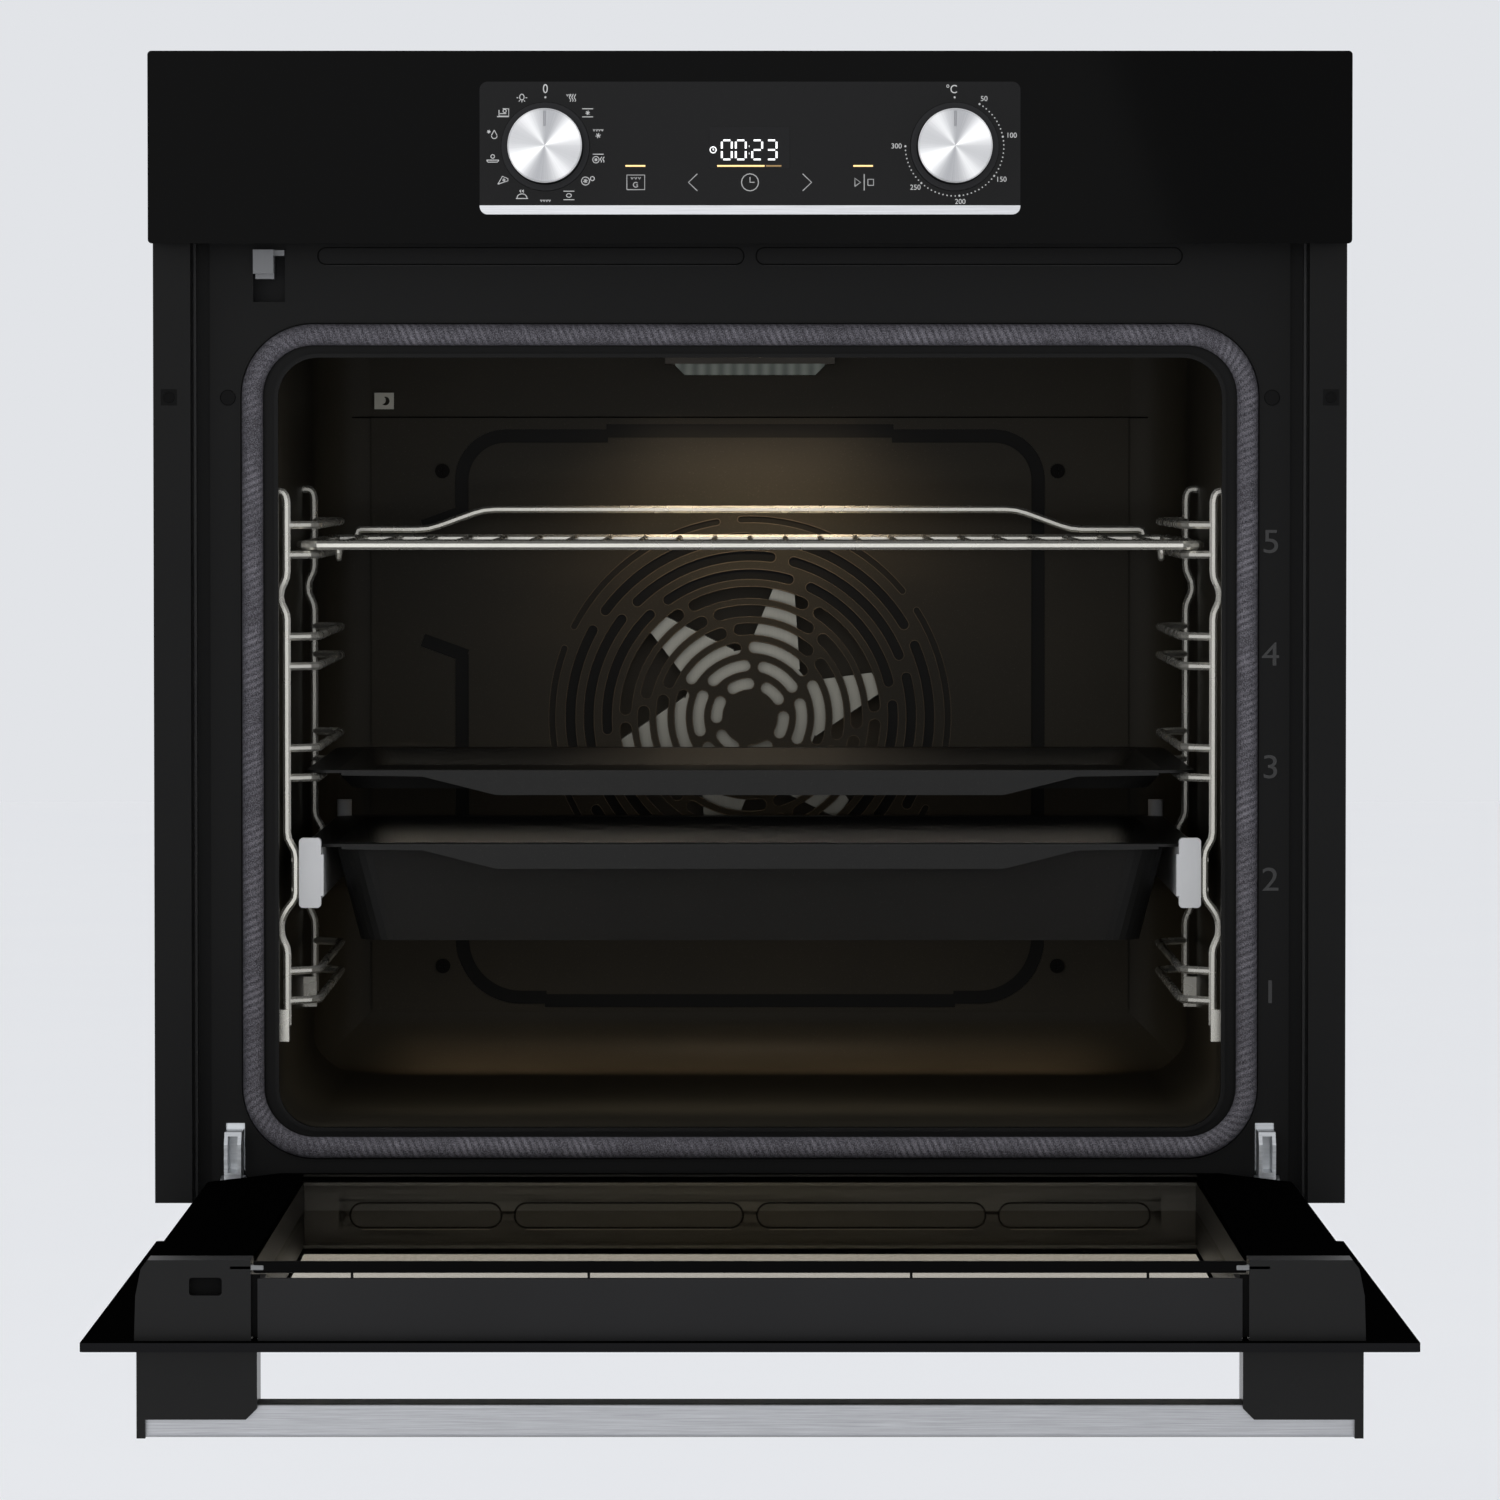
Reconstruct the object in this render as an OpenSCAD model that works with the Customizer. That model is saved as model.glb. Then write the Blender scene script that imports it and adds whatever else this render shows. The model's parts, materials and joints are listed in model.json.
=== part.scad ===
// Built-in wall oven with its drop-down door open.
// Millimetres. +Z is up, the front faces -Y, and the origin lies midway between the two
// niche screws, on the plane of the cabinet front.

/* [Niche and casing] */
// Width of the casing
body_w = 556; // [550:1:560]
// Height of the casing
body_h = 570; // [560:1:580]
// Height of the niche screws above the casing's base
screw_height = 418; // [410:1:426]
// Distance from the cabinet front to the back panel
body_depth = 522; // [518:1:540]
// Thickness of the casing sheet
sheet_t = 1.2; // [1:0.1:1.5]
// Spacing of the two niche screws
screw_spacing = 577.4; // [574:0.2:580]
// Diameter of the niche screw holes
screw_hole_d = 4.5; // [4:0.1:5]
// Thickness of the side trims
trim_t = 1.5; // [1.2:0.1:2]
// How far a side trim's flange reaches out past the casing
trim_reach = 18.5; // [17:0.1:20]

/* [Front frame and cavity] */
// Depth of the front frame behind the cabinet front
frame_y = 25; // [24.5:0.1:26.5]
// Thickness of the front frame sheet
frame_t = 1.5; // [1.2:0.1:1.8]
// Width of the raised middle of the front frame
frame_w = 540; // [538:1:544]
// Depth of the side steps of the front frame
step_d = 6; // [4:0.5:7]
// Width of the oven mouth
mouth_w = 472; // [464:1:474]
// Height of the oven mouth
mouth_h = 385.7; // [384:0.1:387]
// Height of the mouth's upper edge above the niche screws
mouth_top = 20; // [19.5:0.1:20.5]
// Corner radius of the mouth and the cavity
mouth_r = 20; // [16:1:24]
// Width inside the cavity
cavity_w = 478; // [478:0.5:480]
// Height of the cavity ceiling above the mouth's upper edge
headroom = 22; // [20:0.5:24]
// Depth of the cavity behind the cabinet front
cavity_depth = 443; // [441:0.5:445]
// Thickness of the enamelled sheet
enamel_t = 1.5; // [1.2:0.1:1.8]
// Radius of the coves along the cavity's rear edges
cove_r = 30; // [26:1:31]
// Diameter of the door seal
seal_d = 10.7; // [10:0.1:11]
// Corner radius of the seal's centre line
seal_r = 30.7; // [28:0.1:32]
// Thickness of the mineral wool
wool_t = 20; // [16:1:22]

/* [Control panel] */
// Width of the control panel and of the door glass
front_w = 595; // [593:1:597]
// Height of the control panel
panel_h = 95; // [94:0.5:96]
// Height of the control panel's lower edge above the niche screws
panel_low = 75.8; // [75.5:0.1:77]
// How far the panel and the closed door stand out from the cabinet
front_out = 22; // [21.5:0.1:22.5]
// Thickness of the front glasses
glass_t = 4; // [3.5:0.1:4.5]
// Width of the printed insert
insert_w = 267; // [264:1:272]
// Height of the printed insert
insert_h = 65.4; // [64:0.2:67]
// Thickness of the printed insert
insert_t = 1; // [0.6:0.1:1.4]
// Height of the bright strip along the insert's lower edge
strip_h = 4.5; // [3:0.1:6]
// Distance between the knobs
knob_spacing = 202; // [198:0.5:206]
// Diameter of a knob
knob_d = 36.6; // [34:0.1:37.4]
// Length of a knob's skirt
knob_l = 20; // [18:0.5:22]
// How far a knob stands out of the insert
knob_out = 17; // [15:0.5:18]
// Travel of a knob that is pushed in
push_travel = 12; // [8:0.5:12]
// Outer diameter of the ring around a knob
collar_d = 43.5; // [42:0.1:45]
// Diameter of a knob spindle
spindle_d = 6; // [5:0.1:8]

/* [Door] */
// Height of the outer door glass
door_h = 484.4; // [480:0.2:486]
// Thickness of the door from its outer to its inner glass
door_t = 40; // [39:0.1:40.4]
// Gap between the control panel and the closed door
door_gap = 3.8; // [3:0.1:6]
// Depth of the hinge pivots behind the cabinet front
pivot_y = 7; // [6:0.1:7.5]
// Depth of the hinge pivots below the niche screws
pivot_drop = 397.4; // [396:0.1:398]
// Distance between the hinges
hinge_spacing = 516; // [515:0.5:517]
// Width of a hinge arm
arm_w = 8.5; // [7:0.1:9]
// Diameter of a hinge pin
pin_d = 6; // [5:0.1:8]
// Running clearance of pins and spindles, on the radius
fit_gap = 0.05; // [0.02:0.01:0.09]
// Width of the door's inner frame
inner_w = 534; // [533:1:536]
// Width of a door column
column_w = 45; // [43:0.5:47]
// Depth of the handle, from the glass to its far side
handle_out = 39.6; // [36:0.1:44]
// Length of the handle over its brackets
handle_w = 546; // [540:1:560]
// Height of the handle bar's section
bar_h = 15.3; // [12:0.1:18]
// Depth of the handle bar's section
bar_d = 20; // [16:0.5:22]

/* [Fan] */
// Radius of the grille's first ring of slots
ring_start = 18.4; // [17:0.1:20]
// Distance from ring to ring
ring_pitch = 10.05; // [9:0.05:10.4]
// Width of the grille's slots
slot_w = 6.2; // [5:0.1:6.6]
// Radius of the impeller
impeller_r = 72; // [66:0.5:74]
// Depth of the fan chamber
chamber_d = 43; // [40:0.5:46]
// Diameter of the fan shaft
shaft_d = 8; // [6:0.1:10]
// Radius of the ring heater
heater_r = 92; // [88:0.5:96]
// Diameter of the heater tubes
tube_d = 6.5; // [6:0.1:7]

/* [Racks and trays] */
// Height of the highest shelf level, below the niche screws
level_top = 71.35; // [70:0.05:73]
// Distance from level to level
level_pitch = 56.15; // [55:0.05:57]
// Distance between the two wires of a level
pair_gap = 15; // [14.5:0.1:16]
// Diameter of the rack wires
wire_d = 4.2; // [3.8:0.1:4.6]
// Distance between the left and right supporting wires
rail_spacing = 436; // [434:0.5:438]
// Width of the trays over their rims
tray_w = 448.6; // [446:0.2:452]
// Depth of the trays over their rims
tray_depth = 337; // [330:1:345]
// Thickness of the tray sheet
tray_t = 1.2; // [1:0.1:1.4]
// Height of the deep tray
deep_h = 50; // [40:1:50]
// Height of the shallow tray
shallow_h = 10; // [6:0.5:12]
// Width of the wire shelf
shelf_w = 458.6; // [455:0.2:459.4]
// Distance between the wire shelf's cross wires
shelf_pitch = 19; // [17:0.5:24]
// Depth of the wire shelf, from its front wire to its rear one
shelf_depth = 345; // [335:1:350]
// Height of a runner's slide profile
runner_h = 20; // [19:0.5:21]
// Width of a telescopic runner
runner_w = 11; // [10.8:0.1:11.4]
// Length of a telescopic runner
runner_l = 360; // [340:1:370]

/* [Hidden] */
$fn = 48;
eps = 0.01;

// Casing
body_half = body_w / 2;
base_z = -screw_height;
body_top = base_z + body_h;
back_y = body_depth;

// Front frame, mouth and seal
frame_half = frame_w / 2;
frame_low = base_z + sheet_t;
mouth_half = mouth_w / 2;
mouth_low = mouth_top - mouth_h;
seal_side = 12.75;
seal_over = 11.4;
seal_under = 9.9;
seal_half = mouth_half + seal_side;
seal_top = mouth_top + seal_over;
seal_low = mouth_low - seal_under;
seal_front = door_t - front_out + 0.3;
seal_y = seal_front + seal_d / 2;
channel_y = seal_front + seal_d;
channel_clear = 0.6;
neck_t = 2;

// Cavity
cavity_half = cavity_w / 2;
cavity_low = mouth_low;
cavity_top = mouth_top + headroom;
shell_y = channel_y + frame_t;
wall_y = cavity_depth;
fan_z = (mouth_top + mouth_low) / 2;

// Mineral wool, with room for the heater under the floor
wool_gap = 0.2;
heater_room = 12.5;

// Fan cover and chamber
cover_t = 2.5;
cover_y = wall_y - cover_t;
cover_half = cavity_half - cove_r - 1;
cover_top = mouth_top - 28.3;
cover_low = cavity_low + cove_r + 1.5;
groove_w = 7.4;
groove_half = 158.4;
groove_top = cover_top - 9.9;
groove_low = cover_low + 7;
chamber_half = groove_half + 5;
chamber_y = wall_y + enamel_t;
chamber_back = chamber_y + chamber_d;
cover_screw_x = 169;
cover_screw_top = cover_top - 29.2;
cover_screw_low = cover_low + 24.4;
cover_screw_d = 4;
motor_y = chamber_back + enamel_t;
star_y = wall_y + 10;
vane_d = 20;
star_t = 1.5;

// Control panel
panel_top = panel_low + panel_h;
panel_front = -front_out;
panel_back = panel_front + glass_t;
panel_mid = (panel_low + panel_top) / 2;
insert_front = panel_front - insert_t;
insert_mid = panel_mid - 0.5;
knob_z = panel_mid + 0.2;
knob_x = knob_spacing / 2;
knob_front = insert_front - knob_out;
hub_back = knob_front + 32;
spindle_tip = knob_front + push_travel + 2.5;
board_y = hub_back + push_travel + 0.4;
board_t = 1.6;
carrier_t = 2;
carrier_low = panel_low + 20;
carrier_half = frame_half;

// Door, drawn open
pivot_z = -pivot_drop;
door_top = panel_low - door_gap;
free_y = pivot_y - (door_top - pivot_z);
hinge_end_y = free_y + door_h;
outer_z = pivot_z - (pivot_y + front_out);
glass_in_z = outer_z + glass_t;
inner_z = outer_z + door_t;
inner_under = inner_z - glass_t;
inner_half = inner_w / 2;
column_in = inner_half - column_w;
struct_y = free_y + 10;
cap_l = 22;
inner_end = pivot_y - 8;
chamfer_x = 234;
chamfer_y = -51;
hinge_x = hinge_spacing / 2;
cheek_t = 1.5;
cheek_gap = 0.4;
middle_z = (outer_z + inner_z) / 2;

// Handle
bracket_w = 53.7;
cheek_w = 3.9;
bracket_h = 31.2;
handle_y = struct_y;
bracket_d = 28;

// Racks
rail_x = rail_spacing / 2;
rack_x = 233;
rack_front = frame_y + 22;
rack_back = rack_front + 268;
rack_bend = 13;
kink_out = 3.3;
runner_out = rail_x + 8.6;
runner_in = runner_out - runner_w;
runner_level = -level_top - 3 * level_pitch;
runner_mid = runner_level - 1.9;
tray_y = frame_y + 28;
tray_half = tray_w / 2;
lip_t = 1.4;
slide_top = runner_mid + 15.4;

// ---------- drawing helpers ----------

// A drawing of the front, X across and Z up, given a depth from y0 to y1
module slab(y0, y1) {
    translate([0, y1, 0]) rotate([90, 0, 0]) linear_extrude(y1 - y0) children();
}

// A drawing of the side, Y across and Z up, given a width from x0 to x1
module side_slab(x0, x1) {
    translate([x0, 0, 0]) rotate([90, 0, 90]) linear_extrude(x1 - x0) children();
}

// A drawing from above, given a height from z0 to z1
module layer(z0, z1) {
    translate([0, 0, z0]) linear_extrude(z1 - z0) children();
}

module block(x0, x1, y0, y1, z0, z1) {
    translate([x0, y0, z0]) cube([x1 - x0, y1 - y0, z1 - z0]);
}

module rect(x0, x1, y0, y1) {
    translate([x0, y0]) square([x1 - x0, y1 - y0]);
}

module round_rect(x0, x1, y0, y1, r) {
    rect(x0 + r, x1 - r, y0, y1);
    rect(x0, x1, y0 + r, y1 - r);
    for (x = [x0 + r, x1 - r]) for (y = [y0 + r, y1 - r]) translate([x, y]) circle(r);
}

module both() {
    children();
    mirror([1, 0, 0]) children();
}

// A round rod along Y, along X or along Z
module rod_y(x, z, y0, y1, d) {
    translate([x, y1, z]) rotate([90, 0, 0]) cylinder(d = d, h = y1 - y0);
}

module rod_x(y, z, x0, x1, d) {
    translate([x0, y, z]) rotate([0, 90, 0]) cylinder(d = d, h = x1 - x0);
}

module rod_z(x, y, z0, z1, d) {
    translate([x, y, z0]) cylinder(d = d, h = z1 - z0);
}

// Bent wire: a tube swept along points, with rounded bends
function unit(v) = v / norm(v);
function bend(a, b, c, r) =
    let (s = min(r, 0.45 * norm(b - a), 0.45 * norm(c - b)),
         p = b + s * unit(a - b), q = b + s * unit(c - b))
    [for (t = [0, 0.5, 1]) (1 - t) * (1 - t) * p + 2 * t * (1 - t) * b + t * t * q];
function rounded(p, r) = concat(
    [p[0]],
    [for (i = [1:len(p) - 2]) each bend(p[i - 1], p[i], p[i + 1], r)],
    [p[len(p) - 1]]);
function heading(p, i) =
    i == 0 ? unit(p[1] - p[0])
    : i == len(p) - 1 ? unit(p[i] - p[i - 1])
    : unit(unit(p[i] - p[i - 1]) + unit(p[i + 1] - p[i]));

module wire(path, d, across, r = 8, sides = 8) {
    p = len(path) > 2 ? rounded(path, r) : path;
    n = len(p);
    points = [for (i = [0:n - 1])
        let (t = heading(p, i), u = unit(cross(t, across)), v = cross(t, u))
        for (k = [0:sides - 1])
            let (a = 360 * (k + 0.5) / sides) p[i] + d / 2 * (cos(a) * u + sin(a) * v)];
    walls = [for (i = [0:n - 2]) for (k = [0:sides - 1])
        let (a = i * sides + k, b = i * sides + (k + 1) % sides)
        each [[a, a + sides, b + sides], [a, b + sides, b]]];
    ends = [[for (k = [0:sides - 1]) k], [for (k = [sides - 1:-1:0]) (n - 1) * sides + k]];
    polyhedron(points, concat(walls, ends));
}

// ---------- front frame, trims and casing ----------

// Outline at a distance outside the seal's centre line
module seal_outline(out) {
    round_rect(-seal_half - out, seal_half + out, seal_low - out, seal_top + out, seal_r + out);
}

module mouth_outline(out) {
    round_rect(-mouth_half - out, mouth_half + out, mouth_low - out, mouth_top + out, mouth_r + out);
}

module front_slot(x0, x1, z0, z1) {
    round_rect(x0, x1, z0, z1, (z1 - z0) / 2 - eps);
}

emboss_gap = 3;
emboss_reach = 216;

module front_frame() color("#1d1d1f") difference() {
    channel = seal_d / 2 + channel_clear;
    union() {
        slab(frame_y, frame_y + frame_t) difference() {
            rect(-frame_half, frame_half, frame_low, body_top - sheet_t);
            seal_outline(channel);
        }
        slab(frame_y, channel_y + frame_t) difference() {
            seal_outline(channel + frame_t);
            seal_outline(channel);
        }
        slab(channel_y, channel_y + frame_t) difference() {
            seal_outline(channel + frame_t / 2);
            mouth_outline(0);
        }
        slab(frame_y - 0.5, channel_y + frame_t) difference() {
            mouth_outline(neck_t);
            mouth_outline(0);
        }
        both() {
            block(frame_half - frame_t, frame_half, frame_y, frame_y + step_d + frame_t,
                frame_low, body_top - sheet_t);
            block(frame_half - frame_t, body_half - sheet_t, frame_y + step_d,
                frame_y + step_d + frame_t, frame_low, body_top - sheet_t);
        }
    }
    // Long embossings under the control panel
    both() slab(frame_y - 1, frame_y + frame_t / 2)
        front_slot(emboss_gap, emboss_reach, panel_low - 9.4, panel_low - 0.9);
    // Four more along its foot
    both() for (x = [[3.5, 117], [124, 199.5]]) slab(frame_y - 1, frame_y + frame_t / 2)
        front_slot(x[0], x[1], base_z + 6, base_z + 18.5);
    // Slots that the hinge arms pass through
    both() slab(frame_y - 1, frame_y + frame_t + 1)
        rect(hinge_x - arm_w / 2 - 0.5, hinge_x + arm_w / 2 + 0.5, pivot_z - 2, pivot_z + 34);
    // Window of the door switch
    slab(frame_y - 1, frame_y + frame_t + 1) rect(-248.3, -232.3, panel_low - 28, panel_low - 1.6);
    // Outlet of the cooling air, behind the control panel
    slab(frame_y - 1, frame_y + frame_t + 1) rect(-140, 140, panel_low + 4, carrier_low - 2);
}

module side_trims() color("#18181a") both() difference() {
    trim_low = pivot_z - 3.9;
    union() {
        block(body_half, body_half + trim_reach, -trim_t, 0, trim_low, body_top - 4);
        block(body_half, body_half + trim_t, -trim_t, 58, trim_low, body_top - 4);
    }
    rod_y(screw_spacing / 2, 0, -trim_t - 1, 1, screw_hole_d);
}

module vent_row(x0, x1, count, z0, z1) {
    pitch = (x1 - x0) / count;
    for (i = [0:count - 1]) rect(x0 + pitch * (i + 0.25), x0 + pitch * (i + 0.75), z0, z1);
}

module casing_wrap() color("#9a9b9e") difference() {
    union() {
        both() block(body_half - sheet_t, body_half, frame_y + step_d + 3, back_y,
            base_z + sheet_t, body_top);
        block(-body_half, body_half, frame_y, back_y, body_top - sheet_t, body_top);
        both() block(body_half - sheet_t, body_half, frame_y, frame_y + step_d + 3 + eps,
            frame_low, body_top);
    }
    translate([0, 0, body_top - sheet_t - 1]) linear_extrude(sheet_t + 2)
        for (y = [330, 380]) translate([0, y]) vent_row(-200, 200, 16, 0, 30);
}

module base_panel() color("#8f9093") {
    block(-body_half, body_half, frame_y + step_d, back_y, base_z, base_z + sheet_t);
    block(-frame_half, frame_half, frame_y, frame_y + step_d + eps, base_z, base_z + sheet_t);
    block(-frame_half + frame_t, frame_half - frame_t, frame_y + frame_t, frame_y + frame_t + sheet_t,
        base_z, base_z + 14);
}

module back_panel() color("#97989b") difference() {
    slab(back_y, back_y + sheet_t) rect(-body_half, body_half, base_z, body_top);
    slab(back_y - 1, back_y + 3) for (z = [fan_z - 60, fan_z, fan_z + 60])
        vent_row(-90, 90, 9, z - 22, z + 22);
    slab(back_y - 1, back_y + 3) rect(150, 210, 92, 122);
}

// ---------- cavity ----------

module cavity_outline(out) {
    round_rect(-cavity_half - out, cavity_half + out, cavity_low - out, cavity_top + out,
        mouth_r + out);
}

module cove(length) {
    difference() {
        cube([cove_r, cove_r, length]);
        translate([cove_r, 0, -1]) cylinder(r = cove_r, h = length + 2, $fn = 96);
    }
}

hook_z = -47;
hook_hole_d = wire_d + 0.4;

module cavity_shell() color("#241f1b") difference() {
    union() {
        slab(shell_y, wall_y + enamel_t) difference() {
            cavity_outline(enamel_t);
            cavity_outline(0);
        }
        slab(wall_y, wall_y + enamel_t) difference() {
            cavity_outline(enamel_t / 2);
            rect(-chamber_half, chamber_half, groove_low - 5, groove_top + 8);
        }
        intersection() {
            slab(wall_y - cove_r, wall_y + eps) cavity_outline(enamel_t / 2);
            union() {
                both() translate([-cavity_half, wall_y - cove_r, cavity_low])
                    cove(cavity_top - cavity_low);
                translate([-cavity_half, wall_y, cavity_low]) rotate([90, 0, 90])
                    mirror([1, 0, 0]) cove_along();
            }
        }
    }
    both() for (y = [rack_front, rack_back])
        rod_x(y, hook_z, cavity_half - 2, cavity_half + enamel_t + 2, hook_hole_d);
    block(-lamp_half - 0.5, lamp_half + 0.5, lamp_y0 - 0.5, lamp_y1 + 0.5, cavity_top - 1,
        cavity_top + enamel_t + 1);
    for (s = [-1, 1]) rod_y(s * cover_screw_x, cover_screw_top, wall_y - 1, wall_y + 3, cover_screw_d);
    for (s = [-1, 1]) rod_y(s * cover_screw_x, cover_screw_low, wall_y - 1, wall_y + 3, cover_screw_d);
    for (x = grill_legs) rod_y(x, grill_z, wall_y - 1, wall_y + 3, tube_d + 0.4);
    rod_y(sensor_x - 3.2, sensor_z, wall_y - 1, wall_y + 3, 3.4);
}

// The cove along the floor, drawn along its length
module cove_along() {
    difference() {
        cube([cove_r, cove_r, cavity_w]);
        translate([cove_r, cove_r, -1]) cylinder(r = cove_r, h = cavity_w + 2, $fn = 96);
    }
}

module rear_chamber() color("#2b2a29") difference() {
    z0 = groove_low - 5;
    z1 = groove_top + 8;
    union() {
        slab(chamber_y, chamber_back + enamel_t) difference() {
            rect(-chamber_half - enamel_t, chamber_half + enamel_t, z0 - enamel_t, z1 + enamel_t);
            rect(-chamber_half, chamber_half, z0, z1);
        }
        slab(chamber_back, chamber_back + enamel_t)
            rect(-chamber_half - enamel_t, chamber_half + enamel_t, z0 - enamel_t, z1 + enamel_t);
        slab(chamber_y, chamber_y + enamel_t) difference() {
            rect(-chamber_half - 12, chamber_half + 12, z0 - 12, z1 + 9);
            rect(-chamber_half, chamber_half, z0, z1);
            for (s = [-1, 1]) for (z = [cover_screw_top, cover_screw_low])
                translate([s * cover_screw_x, z]) circle(d = cover_screw_d + 1);
        }
    }
    rod_y(0, fan_z, chamber_back - 1, motor_y + 1, shaft_d + 4);
    for (s = [-1, 1]) rod_y(s * 14, fan_z + heater_r * cos(heater_turn), chamber_back - 1,
        motor_y + 1, tube_d + 2 * sleeve_t + 0.4);
}

module insulation() color("#cfc9a8") {
    in = enamel_t + wool_gap;
    side = cavity_half + in + wool_t;
    slab(frame_y + 60, wall_y - 14) difference() {
        round_rect(-side, side, cavity_low - heater_room - wool_t, cavity_top + in + wool_t,
            mouth_r + 12);
        cavity_outline(in);
        rect(-cavity_half + mouth_r, cavity_half - mouth_r, cavity_low - heater_room, cavity_low);
        rect(-lamp_half - 4, lamp_half + 4, cavity_top, cavity_top + 60);
    }
}

module door_seal() color("#4d4b50") {
    run_x = seal_half - seal_r;
    for (z = [seal_low, seal_top]) rod_x(seal_y, z, -run_x, run_x, seal_d);
    both() rod_z(seal_half, seal_y, seal_low + seal_r, seal_top - seal_r, seal_d);
    both() {
        translate([run_x, seal_y, seal_top - seal_r]) rotate([90, 0, 0])
            rotate_extrude(angle = 90) translate([seal_r, 0]) circle(d = seal_d);
        translate([run_x, seal_y, seal_low + seal_r]) mirror([0, 0, 1]) rotate([90, 0, 0])
            rotate_extrude(angle = 90) translate([seal_r, 0]) circle(d = seal_d);
    }
}

// ---------- fan cover and fan ----------

// One slot of a ring: an arc with round ends, centred on an angle
module ring_slot(r, w, centre, sweep, depth) {
    translate([0, 0, fan_z]) rotate([90, 0, 0]) {
        rotate([0, 0, centre - sweep / 2]) rotate_extrude(angle = sweep, $fn = 96)
            translate([r - w / 2, 0]) square([w, depth]);
        for (a = [centre - sweep / 2, centre + sweep / 2])
            rotate([0, 0, a]) translate([r, 0, 0]) cylinder(d = w + slot_bead, h = depth, $fn = 24);
    }
}

function ring_r(i) = ring_start + ring_pitch * i;
function ring_turn(i) = 106.5 + 8.85 * i;
slot_bead = 0.12;

module ring_of_slots(i, w, gap, depth) {
    r = ring_r(i);
    sweep = 60 - (gap + w) / r * 180 / PI;
    for (k = [0:5]) ring_slot(r, w, ring_turn(i) + 60 * k, sweep, depth);
}

module corner_rect(x0, x1, z0, z1, low_r, top_r) {
    rect(x0, x1, z0 + low_r, z1 - top_r);
    rect(x0 + low_r, x1 - low_r, z0, z0 + low_r + eps);
    rect(x0 + top_r, x1 - top_r, z1 - top_r - eps, z1);
    for (x = [x0 + low_r, x1 - low_r]) translate([x, z0 + low_r]) circle(low_r);
    for (x = [x0 + top_r, x1 - top_r]) translate([x, z1 - top_r]) circle(top_r);
}

// The pressed channel around the middle of the fan cover
module groove_outline() {
    h = groove_w / 2;
    difference() {
        corner_rect(-groove_half - h, groove_half + h, groove_low - h, groove_top + h, 36, 28);
        corner_rect(-groove_half + h, groove_half - h, groove_low + h, groove_top - h,
            36 - groove_w, 28 - groove_w);
        rect(-groove_half - h - 1, -groove_half + h + 1, groove_top - 120, groove_top - 42);
        rect(-78, 78, groove_top - h - 1, groove_top + h + 1);
        rect(-112, 112, groove_low - h - 1, groove_low + h + 1);
    }
    rect(-79, 79, groove_top - h + 2.8, groove_top + h + 2.8);
    rect(-113, 113, groove_low - h - 1.9, groove_low + h - 1.9);
    translate([-groove_half, groove_top - 42]) rotate(200) translate([-3, -h]) square([26, groove_w]);
    translate([-groove_half, groove_top - 120]) rotate(160) translate([-3, -h]) square([26, groove_w]);
}

module fan_cover() color("#2a241f") difference() {
    slab(cover_y, wall_y) rect(-cover_half, cover_half, cover_low, cover_top);
    slab(cover_y - 1, cover_y + 1.7) groove_outline();
    translate([0, wall_y + 1, 0]) for (i = [0:5]) ring_of_slots(i, slot_w, 4.2, cover_t + 2);
    translate([0, cover_y + 1.4, 0]) for (i = [6:8]) ring_of_slots(i, 5.2, 7.6, 3);
    translate([0, cover_y + 0.9, 0]) ring_of_slots(9, 3.2, 10, 3);
    for (s = [-1, 1]) for (z = [cover_screw_top, cover_screw_low])
        rod_y(s * cover_screw_x, z, cover_y - 1, wall_y + 1, cover_screw_d + 0.4);
}

module fan_cover_screws() color("#3a3632") for (s = [-1, 1])
    for (z = [cover_screw_top, cover_screw_low]) difference() {
        union() {
            rod_y(s * cover_screw_x, z, cover_y - 2.2, cover_y, 8);
            rod_y(s * cover_screw_x, z, cover_y - 1, wall_y + 7, cover_screw_d);
        }
        for (a = [0, 90]) translate([s * cover_screw_x, cover_y - 2.2, z]) rotate([0, a, 0])
            cube([4, 2.4, 0.9], center = true);
    }

module star_arm() {
    k = impeller_r / 72;
    polygon(k * [[26.8, 24.9], [23.8, 69.2], [12.7, 70.4], [2.4, 45.6], [-10, 30], [0, 0], [20, 0]]);
}

module impeller() color("#c9c8c4") translate([0, star_y, fan_z]) difference() {
    k = impeller_r / 72;
    union() {
        rotate([-90, 0, 0]) linear_extrude(star_t) mirror([0, 1, 0]) {
            circle(37);
            for (a = [0:60:300]) rotate(a) star_arm();
        }
        for (a = [0:60:300]) rotate([0, -a, 0]) translate([25.4 * k, 0, 47 * k])
            rotate([0, -3.9, 0]) translate([-0.6, 0, -21 * k]) cube([1.2, vane_d, 42 * k]);
        rod_y(0, 0, -3, vane_d, 16);
    }
    rod_y(0, 0, -4, vane_d + 1, shaft_d);
}

module fan_shaft() color("#b8b8b6") {
    rod_y(0, fan_z, star_y - 6, motor_y + 26, shaft_d);
    rod_y(0, fan_z, star_y - 7.5, star_y - 3, 13);
}

module fan_motor() color("#8d8f92") difference() {
    union() {
        slab(motor_y, motor_y + 1.5) translate([0, fan_z]) circle(d = 92);
        rod_y(0, fan_z, motor_y, motor_y + 28, 66);
        rod_y(0, fan_z, motor_y, motor_y + 5, 74);
    }
    rod_y(0, fan_z, motor_y - 1, motor_y + 27, shaft_d + 2 * fit_gap);
    for (a = [45:90:315]) rotate_about_fan(a) rod_y(41, fan_z, motor_y - 1, motor_y + 3, 4.5);
}

module rotate_about_fan(a) {
    translate([0, 0, fan_z]) rotate([0, a, 0]) translate([0, 0, -fan_z]) children();
}

// ---------- heaters, lamp and sensor ----------

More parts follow.
